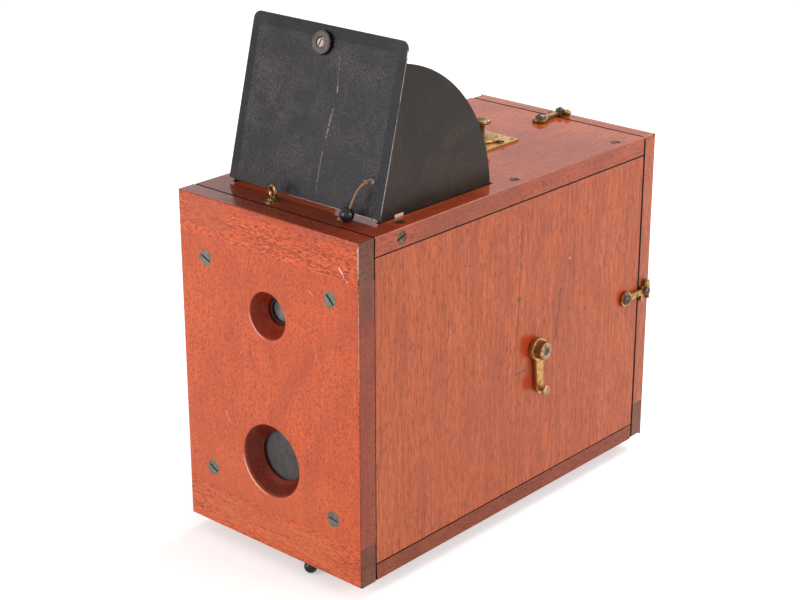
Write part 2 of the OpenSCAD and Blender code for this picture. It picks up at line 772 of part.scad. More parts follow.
// Strips that stop and guide the sheaths at both sides
module magazine_rails() color(mahogany) on_both_sides() {
    rail_w = 4.5;
    rail_h = shaft_z - shaft_d - floor_z;
    translate([inner_x - rail_w, sheath_y - 0.2 - 2, floor_z]) cube([rail_w, 2, rail_h]);
    translate([sheath_w / 2 + free, sheath_y - 0.2, floor_z])
        cube([inner_x - sheath_w / 2 - free, follower_y + follower_t + 8 - sheath_y, rail_h]);
}

module plate_sheaths() color([0.16, 0.16, 0.17]) for (i = [0:sheath_count - 1])
    translate([-sheath_w / 2, sheath_y + i * sheath_pitch, floor_z + 0.2]) difference() {
        cube([sheath_w, sheath_t, sheath_h]);
        translate([0.6, -cut, 0.6]) cube([sheath_w - 1.2, cut + sheath_t - 0.5, sheath_h - 1.2]);
    }

module glass_plates() color("oldlace") for (i = [0:sheath_count - 1])
    translate([0.7 - sheath_w / 2, sheath_y + i * sheath_pitch + sheath_t - 0.5 - plate_t, floor_z + 0.9])
        cube([sheath_w - 1.4, plate_t, sheath_h - 1.4]);

module follower() color(blackened) translate([-sheath_w / 2, follower_y, floor_z + 0.2])
    cube([sheath_w, follower_t, sheath_h]);

module follower_springs() color(steel) for (s = [-1, 1])
    translate([s * sheath_w / 4, spring_y, floor_z + sheath_h / 2]) facing_back()
        coil(spring_d, spring_wire, case_back - spring_y, spring_turns, 12);

// Changing gear

module changing_shaft() color(brass) translate([0, shaft_y, shaft_z]) {
    start = -inner_x - 4.6;
    translate([start, 0, 0]) rotate([0, 90, 0])
        cylinder(d = shaft_d, h = body_w / 2 + lever_lift + lever_t - start);
    for (s = [-1, 1]) translate([s * finger_x, 0, 0]) along_x(finger_w) {
        circle(d = shaft_d + 2.4);
        translate([1.4, -finger_reach]) square([1.6, finger_reach]);
        translate([2.2, -finger_reach]) circle(0.8);
    }
}

module shaft_bush() color(brass) translate([0, shaft_y, shaft_z]) rotate([0, 90, 0]) difference() {
    union() {
        translate([0, 0, inner_x]) cylinder(d = bush_d, h = side_t);
        translate([0, 0, body_w / 2]) cylinder(d = lever_head_d - 1, h = lever_lift - slip);
    }
    translate([0, 0, inner_x - cut]) cylinder(d = shaft_d + 2 * slip, h = side_t + lever_lift + 2 * cut);
}

module on_lever() right_face(shaft_y, shaft_z) translate([0, 0, lever_lift]) rotate(lever_tilt) children();

module changing_lever() color(brass) on_lever() difference() {
    union() {
        cylinder(d = lever_head_d, h = lever_t);
        linear_extrude(lever_t) polygon([[-3.4, 0], [3.4, 0], [2.6, -lever_l], [-2.6, -lever_l]]);
        translate([0, -lever_l, 0]) cylinder(r = 2.9, h = lever_t);
    }
    translate([0, 0, -cut]) cylinder(d = shaft_d, h = lever_t + 2 * cut);
}

module lever_knob() color(brass) on_lever() translate([0, 0, lever_t]) difference() {
    milled_knob(lever_knob_d, 4.8, 40);
    translate([0, 0, 3.8]) cylinder(d = 4.6, h = 2);
    translate([0, 0, -cut]) cylinder(d = 2 + slip, h = 6);
}

module lever_screw() color(steel) on_lever() translate([0, 0, lever_t + 4.4])
    difference() {
        union() {
            translate([0, 0, -0.6]) cylinder(d = 4.2, h = 0.9);
            translate([0, 0, -4.4]) cylinder(d = 2, h = 4);
        }
        rotate(35) translate([-3, -0.35, -0.1]) cube([6, 0.7, 1]);
    }

module lever_button() color(brass) on_lever() translate([0, -lever_l, lever_t])
    rotate_extrude() polygon([[0, 0], [1.5, 0], [1.5, 1.6], [2.6, 2.4], [3, 3.6], [2.6, 4.6], [1.2, 5], [0, 5]]);

// Hooks and keepers

// Hook drawn with its pivot at the origin, its keeper along +X and its slot open towards -Y
module hook() {
    slot_x = hook_reach - keeper_slot / 2;
    prong_w = 1.9;
    prong_l = 5;
    web = 1;
    linear_extrude(hook_t) difference() {
        union() {
            circle(hook_head_r);
            translate([0, -1.9]) square([slot_x, 3.8]);
            translate([hook_head_r + 0.6, -2.4]) square([1.2, 4.8]);
            translate([slot_x - prong_w, -prong_l])
                square([keeper_slot + 2 * prong_w, prong_l + keeper_slot / 2 + web]);
            for (x = [slot_x - prong_w / 2, slot_x + keeper_slot + prong_w / 2])
                translate([x, -prong_l]) circle(d = prong_w);
        }
        circle(d = hook_bore + 2 * slip);
        translate([slot_x, -2 * prong_l]) square([keeper_slot, 2 * prong_l]);
        translate([hook_reach, 0]) circle(d = keeper_slot);
    }
    translate([hook_reach, keeper_slot / 2 + web / 2, hook_t / 2]) rotate([-90, 0, 0]) {
        cylinder(d = hook_t - slip, h = 2);
        translate([0, hook_t / 2 - hook_ball_d / 2 + hook_lift - free, 2.6]) sphere(d = hook_ball_d);
    }
}

module hook_right() color(brass) right_face(side_hook_y, side_hook_z)
    translate([0, 0, hook_lift]) hook();
module hook_left() color(brass) mirror([1, 0, 0]) right_face(side_hook_y, side_hook_z)
    translate([0, 0, hook_lift]) hook();
module hook_top() color(brass) top_face(0, side_hook_y) mirror([1, -1, 0])
    translate([0, 0, hook_lift]) hook();

module hook_screw() {
    rise = hook_lift + hook_t + slip;
    translate([0, 0, rise]) dome_screw(hook_screw_d, dome_h, hook_bore, rise, 30);
    translate([0, 0, -hook_screw_l]) cylinder(d = keeper_d, h = hook_screw_l + rise);
}

module hook_pivot_screws() color(steel) {
    on_both_sides() right_face(side_hook_y, side_hook_z) hook_screw();
    top_face(0, side_hook_y) hook_screw();
}

module keeper_screw() {
    rise = hook_lift + hook_t + free;
    translate([0, 0, rise]) dome_screw(keeper_head_d, dome_h, keeper_d, rise + hook_screw_l, 60);
}

module keeper_screws() color(steel) {
    on_both_sides() right_face(keeper_y, side_hook_z) keeper_screw();
    top_face(0, keeper_y) keeper_screw();
}

// Exposure dial

module dial_screw_places() for (sx = [-1, 1]) for (sy = [-1, 1])
    translate([sx * (dial_plate_w / 2 - 3), dial_y + sy * (dial_plate_w / 2 - 3),
        body_h + dial_plate_t - dial_screw_sink]) children();

module dial_plate() color(brass) difference() {
    translate([-dial_plate_w / 2, dial_y - dial_plate_w / 2, body_h])
        cube([dial_plate_w, dial_plate_w, dial_plate_t]);
    translate([0, dial_y, body_h - cut]) cylinder(d = dial_stem_d + 2 * slip, h = dial_plate_t + 2 * cut);
    dial_screw_places() wood_screw_hole(dial_screw_d, dial_shank_d, dial_screw_l);
}

module dial_screws() color(steel) dial_screw_places()
    wood_screw(dial_screw_d, dial_shank_d, dial_screw_l, 20);

// Disc with one pointed tooth, and a raised hub
module dial_pointer() color(brass) translate([0, dial_y, body_h + dial_plate_t + free]) difference() {
    union() {
        cylinder(d = dial_disc_d, h = 1.4);
        translate([0, 0, 1.4]) cylinder(d1 = dial_disc_d - 1, d2 = 9, h = 1.2);
        rotate(10) linear_extrude(1.2) polygon([[0, -4.5], [14.6, 0], [0, 4.5]]);
    }
    translate([0, 0, -cut]) cylinder(d = dial_stem_d, h = 6);
}

module dial_knob() color(brass) translate([0, dial_y, body_h]) {
    translate([0, 0, -5.6]) cylinder(d = dial_stem_d, h = dial_h + 5.6 - 1);
    rotate_extrude() polygon([[0, dial_h - 5.4], [1.5, dial_h - 5.4], [2.2, dial_h - 3.6], [4.6, dial_h - 3.2],
        [5, dial_h - 2.2], [4.6, dial_h - 1], [3, dial_h - 0.3], [0, dial_h]]);
}

// Hood

// Outline of the hood plate, narrower at its top, with two rounded corners
module hood_plate_outline() {
    slant = atan(hood_taper / (hood_reach - hood_foot));
    corner_y = hood_reach - hood_corner_r;
    corner_x = hood_plate_w / 2
        - (hood_corner_r + (corner_y - hood_foot) * sin(slant)) / cos(slant);
    touch = [corner_x + hood_corner_r * cos(slant), corner_y + hood_corner_r * sin(slant)];
    polygon([[-hood_plate_w / 2, hood_foot], [hood_plate_w / 2, hood_foot], touch,
        [corner_x, hood_reach], [-corner_x, hood_reach], [-touch[0], touch[1]]]);
    for (s = [-1, 1]) translate([s * corner_x, corner_y]) circle(hood_corner_r);
}

module hood_plate() color(blackened) at_hood() difference() {
    translate([0, 0, plate_rise]) linear_extrude(hood_t) hood_plate_outline();
    translate([hood_hole_x, hood_hole_reach, 0]) linear_extrude(2 * plate_rise) {
        square([hood_hole_w, hood_hole_h - hood_hole_w], center = true);
        for (s = [-1, 1]) translate([0, s * (hood_hole_h - hood_hole_w) / 2]) circle(d = hood_hole_w);
    }
    translate([hood_knob_x, hood_knob_reach, 0]) cylinder(d = knob_shank_d + slip, h = 2 * plate_rise);
}

// Quarter-round cheeks, turned about the pivot screws
module hood_cheeks() color([0.14, 0.15, 0.13]) at_hood() on_both_sides()
    translate([cheek_x - hood_t / 2, 0, 0]) along_x(hood_t) difference() {
        union() {
            intersection() {
                circle(cheek_r, $fn = 160);
                polygon([[hood_foot, plate_rise], [cheek_r, plate_rise], [1.2 * cheek_r, 0],
                    [1.2 * cheek_r * cos(cheek_low / 2), 1.2 * cheek_r * sin(cheek_low / 2)],
                    1.2 * cheek_r * [cos(cheek_low), sin(cheek_low)],
                    [0, 0]]);
            }
            circle(hood_hub_r);
        }
        circle(d = pivot_screw_d + 2 * slip);
    }

module on_hood_knob() at_hood()
    translate([hood_knob_x, hood_knob_reach, plate_rise + hood_t]) children();

module hood_knob() color(steel) on_hood_knob() difference() {
    milled_knob(hood_knob_d, 3, 36);
    translate([0, 0, 2]) cylinder(d = 6, h = 2);
    translate([0, 0, -cut]) cylinder(d = knob_shank_d + slip, h = 6);
}

module hood_knob_screw() color(steel) on_hood_knob() {
    difference() {
        union() {
            translate([0, 0, 2]) cylinder(d = 5.6, h = 0.6);
            translate([0, 0, 2.6]) cylinder(d1 = 5.6, d2 = 4, h = 0.6);
        }
        rotate(72) translate([-4, -0.4, 2.6]) cube([8, 0.8, 1]);
    }
    translate([0, 0, -hood_t - knob_nut_t - 0.2])
        cylinder(d = knob_shank_d, h = hood_t + knob_nut_t + 2.4);
    translate([0, 0, -hood_t - knob_nut_t]) cylinder(d = knob_nut_d, h = knob_nut_t, $fn = 6);
}

module hood_pivot_screws() color(steel) on_both_sides() right_face(hood_pivot_y, hood_pivot_z)
    translate([0, 0, -screw_sink]) wood_screw(front_screw_d, pivot_screw_d, pivot_screw_l, 20);

function placed(p) = [p[0], behind(p[1]), p[2]];

module setting_cord() color("chocolate") {
    path = [for (p = cord_route) placed(p)];
    swept_tube(path, cord_d / 2, 8);
    translate(path[0]) sphere(1.5, $fn = 16);
    translate(path[4]) sphere(1.4, $fn = 16);
}

module cord_bead() color([0.08, 0.07, 0.07]) translate(placed(bead_at)) {
    along = bead_from - bead_at;
    rotate([0, acos(along[2] / norm(along)), atan2(along[1], along[0])])
        rotate_extrude($fn = 72) intersection() {
            circle(d = bead_d, $fn = 144);
            translate([cord_d / 2 + bead_slip, -bead_d]) square([bead_d, 2 * bead_d]);
        }
}

module screw_eye() color(brass) translate([eye_x, behind(eye_in), body_h]) {
    translate([0, 0, -7]) cylinder(d = 2.2, h = 8);
    cylinder(d = 10, h = 0.8);
    translate([0, 0, 0.8]) cylinder(d1 = 8, d2 = 4, h = 0.8);
    translate([0, 0, 4.9]) rotate([90, 0, -16]) rotate(-80) rotate_extrude(angle = 345)
        translate([3.1, 0]) circle(0.95, $fn = 24);
}

module front_screws() color(steel) {
    turns = [[28, 24], [8, 45]];
    for (i = [0, 1]) for (j = [0, 1])
        front_face([-front_screw_x, front_screw_x][i], [front_screw_low, front_screw_high][j])
            translate([0, 0, -screw_sink])
                wood_screw(front_screw_d, shank_d, front_screw_l, -turns[i][j]);
}

module top_screws() color(steel) at_top_screws() translate([0, 0, -screw_sink])
    wood_screw(top_screw_d, shank_d, top_screw_l, 75);

front_board();
front_cleats();
top_board();
bottom_board();
side_panel_left();
side_panel_right();
front_battens();
front_screws();
top_screws();
lens_board();
view_lens_tube();
view_lens_glass();
take_lens_tube();
take_lens_glass();
shutter_plate();
shutter_pivot();
shutter_blade();
release_stem();
release_ball();
release_spring();
finder_partition();
finder_back();
mirror_wedges();
mirror_board();
finder_mirror();
screen_battens();
ground_glass();
screen_frame();
magazine_rails();
plate_sheaths();
glass_plates();
follower();
follower_springs();
store_floor();
changing_shaft();
shaft_bush();
changing_lever();
lever_knob();
lever_button();
lever_screw();
hook_right();
hook_left();
hook_top();
hook_pivot_screws();
keeper_screws();
dial_plate();
dial_screws();
dial_pointer();
dial_knob();
rear_board();
rear_cleats();
light_trap();
hood_plate();
hood_cheeks();
hood_knob();
hood_knob_screw();
hood_pivot_screws();
setting_cord();
cord_bead();
screw_eye();
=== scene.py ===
import math

import bmesh
import bpy
from mathutils import Matrix, Vector


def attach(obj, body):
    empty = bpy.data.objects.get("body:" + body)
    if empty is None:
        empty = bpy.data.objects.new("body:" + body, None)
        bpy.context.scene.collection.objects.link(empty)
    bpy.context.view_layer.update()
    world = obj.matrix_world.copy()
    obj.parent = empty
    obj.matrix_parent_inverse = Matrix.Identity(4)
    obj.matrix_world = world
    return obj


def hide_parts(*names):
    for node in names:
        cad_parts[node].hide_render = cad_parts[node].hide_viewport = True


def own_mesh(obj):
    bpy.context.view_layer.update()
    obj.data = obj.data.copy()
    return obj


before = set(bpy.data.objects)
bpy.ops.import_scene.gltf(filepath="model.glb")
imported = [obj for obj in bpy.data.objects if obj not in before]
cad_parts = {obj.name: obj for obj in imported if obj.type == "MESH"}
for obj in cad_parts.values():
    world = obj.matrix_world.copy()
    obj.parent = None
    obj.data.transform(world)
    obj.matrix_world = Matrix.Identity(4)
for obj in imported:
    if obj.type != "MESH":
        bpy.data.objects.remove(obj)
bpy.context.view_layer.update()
print("camera body loaded:", len(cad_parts), "nodes")

# the view, the same as the photograph's, in metres and degrees
viewPoint = {
    "place": (0.6530, -0.75625, 0.5021),
    "azimuth": 41.71,
    "elevation": 21.51,
    "roll": -0.03,
    "lens": 84.70,
    "sensor": 36.0,
    "nearest": 0.01,
    "farthest": 50,
}


def makeCamera(settings):
    data = bpy.data.cameras.new("viewCamera")
    data.lens = settings["lens"]
    data.sensor_width = settings["sensor"]
    data.clip_start = settings["nearest"]
    data.clip_end = settings["farthest"]
    viewCamera = bpy.data.objects.new("viewCamera", data)
    viewCamera.location = settings["place"]
    turn = Matrix.Rotation(math.radians(settings["azimuth"]), 3, "Z")
    tip = Matrix.Rotation(math.radians(90 - settings["elevation"]), 3, "X")
    roll = Matrix.Rotation(math.radians(settings["roll"]), 3, "Z")
    viewCamera.rotation_mode = "QUATERNION"
    viewCamera.rotation_quaternion = (turn @ tip @ roll).to_quaternion()
    bpy.context.scene.collection.objects.link(viewCamera)
    bpy.context.scene.camera = viewCamera


makeCamera(viewPoint)

# the box's outer faces, and the black hood plate's foot and lean
frontFace = -0.12725
sideFace = 0.065
topFace = 0.192
plateFoot = (0.0, -0.09953, 0.19413)
plateLean = math.asin(0.247)

# the cord, from its knot behind the hood plate to its frayed end below the bead: points in
# millimetres across, behind the front face and up, radii and rings in metres
cord = {
    "diameter": 0.001,
    "route": [(45.4, 32.5, 213.6), (45.3, 30, 213.4), (44.9, 27.6, 212.8), (43.6, 26, 211),
              (42.2, 24.8, 208.8), (41.3, 23.4, 206), (40.9, 22, 203.2), (40.5, 20.6, 200),
              (39, 19.9, 196.1), (37.9, 19.4, 193.2), (37, 19, 192.65), (35.6, 18.8, 192.65)],
    "knots": {
        "outerKnot": {"at": (44.9, 27.6, 212.8), "ring": 0.00034, "radius": 0.00042},
        "innerKnot": {"at": (45.1, 37.4, 212.6), "ring": 0.00036, "radius": 0.00045},
    },
    "frayedAt": (35.8, 18.8, 192.7),
    "frayedTips": [(33.9, 18.2, 192.5), (33.6, 18.9, 193.1), (34.1, 19.7, 192.5), (34.0, 18.8, 193.8),
                   (33.8, 19.4, 193.5), (34.5, 17.9, 193.3), (34.4, 20.0, 193.0), (34.9, 18.5, 194.0)],
    "fibreRadius": 0.00016,
    "fibreBow": 0.00025,
}


def fromFront(point):
    # millimetres with the depth behind the front face, as metres in the camera's own frame
    return Vector((point[0] / 1000, frontFace + point[1] / 1000, point[2] / 1000))


def onFront(x, z):
    return (x / 1000, frontFace, z / 1000)


def onSide(y, z):
    return (sideFace, y / 1000, z / 1000)


def onPlate(u, v):
    # across and up the hood plate from the middle of its foot
    return (u / 1000, 0.0, v / 1000)


# node helpers, where each value is a number, a vector, a colour or another node's output
def setInputs(tree, node, values):
    for key, value in values.items():
        if isinstance(value, bpy.types.NodeSocket):
            tree.links.new(value, node.inputs[key])
        elif node.inputs[key].type == "RGBA":
            node.inputs[key].default_value = (*value[:3], 1)
        else:
            node.inputs[key].default_value = value


def addNode(tree, kind, values=None, **settings):
    node = tree.nodes.new(kind)
    for key, value in settings.items():
        setattr(node, key, value)
    setInputs(tree, node, values or {})
    return node


def mathNode(tree, operation, first, second=None, clamp=False):
    values = {0: first} if second is None else {0: first, 1: second}
    return addNode(tree, "ShaderNodeMath", values, operation=operation, use_clamp=clamp).outputs[0]


def times(tree, first, second, clamp=False):
    return mathNode(tree, "MULTIPLY", first, second, clamp)


def inverse(tree, value):
    return mathNode(tree, "SUBTRACT", 1.0, value)


def vectorNode(tree, operation, first, second=None, output="Vector"):
    values = {0: first} if second is None else {0: first, 1: second}
    return addNode(tree, "ShaderNodeVectorMath", values, operation=operation).outputs[output]


def scaledVector(tree, vector, amount):
    return addNode(tree, "ShaderNodeVectorMath", {0: vector, "Scale": amount}, operation="SCALE").outputs[0]


def stepped(tree, value, low, high, toLow=0.0, toHigh=1.0):
    limits = {"Value": value, "From Min": low, "From Max": high, "To Min": toLow, "To Max": toHigh}
    node = addNode(tree, "ShaderNodeMapRange", limits, interpolation_type="SMOOTHSTEP", clamp=True)
    return node.outputs["Result"]


def weighed(tree, value, low, high, amount, clamp=False):
    return times(tree, stepped(tree, value, low, high), amount, clamp)


def mixedColor(tree, factor, first, second, blend="MIX"):
    return addNode(tree, "ShaderNodeMix", {0: factor, 6: first, 7: second}, data_type="RGBA",
                   blend_type=blend, clamp_factor=True).outputs[2]


def noiseNode(tree, vector, scale, detail, roughness, distortion=0.0, output="Fac"):
    return addNode(tree, "ShaderNodeTexNoise", {"Vector": vector, "Scale": scale, "Detail": detail,
                   "Roughness": roughness, "Distortion": distortion}).outputs[output]


def stretchedNoise(tree, vector, size, detail, roughness, distortion=0.0, output="Fac"):
    vector = vectorNode(tree, "MULTIPLY", vector, size)
    return noiseNode(tree, vector, 1, detail, roughness, distortion, output)


def wandering(tree, noise, reach):
    # a coloured noise as a vector about zero
    return vectorNode(tree, "MULTIPLY", vectorNode(tree, "SUBTRACT", noise, (0.5, 0.5, 0.5)), reach)


def newGroup(name, **inputs):
    # a group takes the place as a vector, and the inputs given here with their usual values
    group = bpy.data.node_groups.new(name, "ShaderNodeTree")
    kinds = {0: "NodeSocketFloat", 3: "NodeSocketVector", 4: "NodeSocketColor"}
    for socketName, value in {"vector": (0, 0, 0), **inputs}.items():
        kind = kinds[len(value) if isinstance(value, tuple) else 0]
        socket = group.interface.new_socket(name=socketName, in_out="INPUT", socket_type=kind)
        socket.default_value = value
    return group, group.nodes.new("NodeGroupInput").outputs


def closeGroup(group, **results):
    for socketName in results:
        kind = "NodeSocketColor" if socketName == "color" else "NodeSocketFloat"
        group.interface.new_socket(name=socketName, in_out="OUTPUT", socket_type=kind)
    setInputs(group, group.nodes.new("NodeGroupOutput"), results)
    return group


def placeGroup(tree, group, vector, values):
    # the group's inputs take those values that carry their names
    node = addNode(tree, "ShaderNodeGroup", node_tree=group)
    named = {socket.name: values[socket.name] for socket in node.inputs if socket.name in values}
    setInputs(tree, node, {"vector": vector, **named})
    return node.outputs


# effects that several finishes share
def makeGrain():
    # mahogany with its grain along Z: broad figure, fibres, short flecks and open pores
    group, given = newGroup("mahoganyGrain", pale=(0.6, 0.12, 0.04, 1), dark=(0.4, 0.07, 0.03, 1),
                            pore=(0.12, 0.03, 0.02, 1), figure=0.5, fibre=0.5, fleck=0.5, cloud=0.3,
                            wave=0.01, fleckSize=(900, 900, 230))
    swerve = stretchedNoise(group, given["vector"], (34, 34, 22), 2, 0.5, output="Color")
    swerve = wandering(group, swerve, (1, 1, 0))
    bent = vectorNode(group, "ADD", given["vector"], scaledVector(group, swerve, given["wave"]))
    broad = stretchedNoise(group, bent, (70, 70, 6), 3, 0.55, 0.6)
    fibres = stretchedNoise(group, bent, (620, 620, 30), 4, 0.62)
    flecks = stretchedNoise(group, bent, given["fleckSize"], 2, 0.6, 0.5)
    poreSize = vectorNode(group, "MULTIPLY", given["fleckSize"], (1.9, 1.9, 1.5))
    pores = stretchedNoise(group, bent, poreSize, 1, 0.5)
    clouds = stretchedNoise(group, given["vector"], (30, 30, 26), 3, 0.6)
    shade = weighed(group, broad, 0.36, 0.66, given["figure"])
    shade = mathNode(group, "ADD", shade, weighed(group, fibres, 0.36, 0.66, given["fibre"]))
    shade = mathNode(group, "ADD", shade, weighed(group, clouds, 0.34, 0.7, given["cloud"]), True)
    color = mixedColor(group, shade, given["pale"], given["dark"])
    color = mixedColor(group, weighed(group, flecks, 0.46, 0.66, given["fleck"]), color, given["dark"])
    poreMask = weighed(group, pores, 0.58, 0.70, given["fleck"])
    return closeGroup(group, color=mixedColor(group, poreMask, color, given["pore"]),
                      roughness=stepped(group, fibres, 0.3, 0.75, 0.36, 0.50),
                      height=mathNode(group, "SUBTRACT", times(group, fibres, 0.35), poreMask))


def makeThinLine():
    # 1 within a thin line from one point to another, broken up along its length
    group, given = newGroup("thinLine", start=(0, 0, 0), end=(0, 0, 0.01), width=0.0004, broken=0.5)
    reach = vectorNode(group, "SUBTRACT", given["vector"], given["start"])
    along = vectorNode(group, "SUBTRACT", given["end"], given["start"])
    share = mathNode(group, "DIVIDE", vectorNode(group, "DOT_PRODUCT", reach, along, "Value"),
                     vectorNode(group, "DOT_PRODUCT", along, along, "Value"), True)
    fromNearest = vectorNode(group, "SUBTRACT", reach, scaledVector(group, along, share))
    apart = vectorNode(group, "LENGTH", fromNearest, output="Value")
    halfWidth = times(group, given["width"], 0.5)
    mask = inverse(group, stepped(group, apart, times(group, halfWidth, 0.5), halfWidth))
    gaps = stepped(group, noiseNode(group, given["vector"], 900, 1, 0.5), 0.40, 0.55)
    left = inverse(group, times(group, given["broken"], inverse(group, gaps)))
    return closeGroup(group, mask=times(group, mask, left))


def makeFigureSweep():
    # soft band along a circle seen from the front, for a sweep in the figure
    group, given = newGroup("figureSweep", centre=(0, 0, 0), radius=0.05, width=0.006)
    wander = noiseNode(group, given["vector"], 90, 4, 0.65, output="Color")
    place = vectorNode(group, "ADD", given["vector"], wandering(group, wander, (0.010, 0.0, 0.010)))
    flat = vectorNode(group, "MULTIPLY", vectorNode(group, "SUBTRACT", place, given["centre"]), (1, 0, 1))
    reach = vectorNode(group, "LENGTH", flat, output="Value")
    away = mathNode(group, "ABSOLUTE", mathNode(group, "SUBTRACT", reach, given["radius"]))
    return closeGroup(group, mask=inverse(group, stepped(group, away, 0.0, given["width"])))


def makeEdgeRub():
    # mask along the eased edges, which carry the attribute edgeWear, with a ragged limit
    group, given = newGroup("edgeRub", edge=0.0, scale=300.0, amount=0.8)
    ragged = noiseNode(group, given["vector"], given["scale"], 3, 0.6)
    ragged = stepped(group, ragged, 0.38, 0.60, 0.25, 1.0)
    return closeGroup(group, mask=times(group, given["edge"], times(group, ragged, given["amount"]), True))


def makePatina():
    # tarnish in clouds and spots, for brass and steel
    group, given = newGroup("patina", bright=(0.7, 0.5, 0.2, 1), dull=(0.3, 0.18, 0.06, 1),
                            spot=(0.06, 0.035, 0.02, 1), amount=0.6, scale=260.0)
    clouds = noiseNode(group, given["vector"], given["scale"], 5, 0.65, 0.3)
    fine = noiseNode(group, given["vector"], 1800, 3, 0.6)
    dulled = weighed(group, clouds, 0.36, 0.62, given["amount"], True)
    spots = weighed(group, fine, 0.58, 0.70, given["amount"], True)
    color = mixedColor(group, dulled, given["bright"], given["dull"])
    return closeGroup(group, color=mixedColor(group, spots, color, given["spot"]),
                      roughness=stepped(group, clouds, 0.3, 0.7, 0.24, 0.46),
                      height=mathNode(group, "SUBTRACT", clouds, spots))


def makeSpecks():
    # sparse specks and dust on black finishes
    group, given = newGroup("specks", scale=500.0, threshold=0.66)
    dots = noiseNode(group, given["vector"], given["scale"], 2, 0.7)
    high = mathNode(group, "ADD", given["threshold"], 0.06)
    return closeGroup(group, mask=stepped(group, dots, given["threshold"], high))


def makePatchArea():
    # 1 inside a box whose limit is soft or ragged
    group, given = newGroup("patchArea", centre=(0, 0, 0), size=(0.01, 0.01, 0.01), soft=0.2, ragged=0.0)
    local = vectorNode(group, "SUBTRACT", given["vector"], given["centre"])
    local = vectorNode(group, "ABSOLUTE", vectorNode(group, "DIVIDE", local, given["size"]))
    x, y, z = addNode(group, "ShaderNodeSeparateXYZ", {0: local}).outputs
    most = mathNode(group, "MAXIMUM", mathNode(group, "MAXIMUM", x, y), z)
    wander = mathNode(group, "SUBTRACT", noiseNode(group, given["vector"], 420, 4, 0.65), 0.5)
    most = mathNode(group, "ADD", most, times(group, wander, given["ragged"]))
    inner = mathNode(group, "SUBTRACT", 0.5, times(group, given["soft"], 0.5))
    return closeGroup(group, mask=inverse(group, stepped(group, most, inner, 0.5)))


grain = makeGrain()
thinLine = makeThinLine()
figureSweep = makeFigureSweep()
edgeRub = makeEdgeRub()
patina = makePatina()
specks = makeSpecks()
patchArea = makePatchArea()
print("shared effects made")


# finishes
def newMaterial(name):
    material = bpy.data.materials.new(name)
    material.use_nodes = True
    tree = material.node_tree
    return material, tree, addNode(tree, "ShaderNodeTexCoord").outputs["Object"]


def closeMaterial(material, values, height=None, strength=0.0, depth=0.0002):
    tree = material.node_tree
    if height is not None:
        bump = addNode(tree, "ShaderNodeBump", {"Height": height, "Strength": strength, "Distance": depth})
        values["Normal"] = bump.outputs[0]
    setInputs(tree, tree.nodes["Principled BSDF"], values)
    return material


def addMarks(tree, color, place, group, marks):
    # each mark has the inputs of its group in their order, and then a colour and a strength
    for *settings, shade, strength in marks:
        mark = addNode(tree, "ShaderNodeGroup", dict(enumerate([place, *settings])), node_tree=group)
        color = mixedColor(tree, times(tree, mark.outputs["mask"], strength), color, shade)
    return color


def addEdgeWear(tree, color, place, look, scale):
    edge = addNode(tree, "ShaderNodeAttribute", attribute_name="edgeWear").outputs["Fac"]
    rub = placeGroup(tree, edgeRub, place, {"edge": edge, "amount": look["edgeAmount"], "scale": scale})
    return mixedColor(tree, rub["mask"], color, look["edgeColor"])


def boxMask(tree, place, box):
    centre, size = box
    return placeGroup(tree, patchArea, place, {"centre": centre, "size": size, "soft": 0.02})["mask"]


grainTurns = {"Z": (0, 0, 0), "X": (0, math.radians(90), 0), "Y": (math.radians(90), 0, 0)}


def woodFinish(name, look):
    material, tree, place = newMaterial(name)
    turned = addNode(tree, "ShaderNodeMapping",
                     {"Vector": place, "Rotation": grainTurns[look["grain"]], "Location": look["shift"]})
    wood = placeGroup(tree, grain, turned.outputs[0], look)
    color = wood["color"]
    color = addMarks(tree, color, place, figureSweep, look.get("sweeps", []))
    for box, tint in look["faces"]:
        color = mixedColor(tree, boxMask(tree, place, box), color, tint, "MULTIPLY")
    color = addMarks(tree, color, place, patchArea, look["patches"])
    color = addMarks(tree, color, place, thinLine, look.get("lines", []))
    color = addEdgeWear(tree, color, place, look, 300.0)
    color = addMarks(tree, color, place, patchArea, look.get("rubbed", []))
    seam = addNode(tree, "ShaderNodeAttribute", attribute_name="jointLine").outputs["Fac"]
    coat = times(tree, inverse(tree, seam), look["coat"])
    if "dulled" in look:
        coat = times(tree, coat, stepped(tree, boxMask(tree, place, look["dulled"]), 0.0, 1.0, 1.0, 0.35))
    return closeMaterial(material, {
        "Base Color": mixedColor(tree, seam, color, look["seamColor"]), "Roughness": wood["roughness"],
        "Coat Weight": coat, "Coat Roughness": look["coatRoughness"], "Coat IOR": 1.5,
        "Specular IOR Level": look["specular"]}, wood["height"], look["bump"])


def darkWoodFinish(name, look):
    material, tree, place = newMaterial(name)
    fibres = stretchedNoise(tree, place, look["stretch"], 3, 0.6)
    color = mixedColor(tree, stepped(tree, fibres, 0.35, 0.7), look["color"], look["streak"])
    rough = stepped(tree, fibres, 0.3, 0.7, 0.6, 0.85)
    return closeMaterial(material, {"Base Color": color, "Roughness": rough}, fibres, 0.3)


def metalFinish(name, look):
    material, tree, place = newMaterial(name)
    worn = placeGroup(tree, patina, place, look)
    return closeMaterial(material, {
        "Base Color": addEdgeWear(tree, worn["color"], place, look, 500.0),
        "Roughness": mathNode(tree, "ADD", worn["roughness"], look["rougher"]),
        "Metallic": look["metallic"]}, worn["height"], look["bump"], 0.0001)


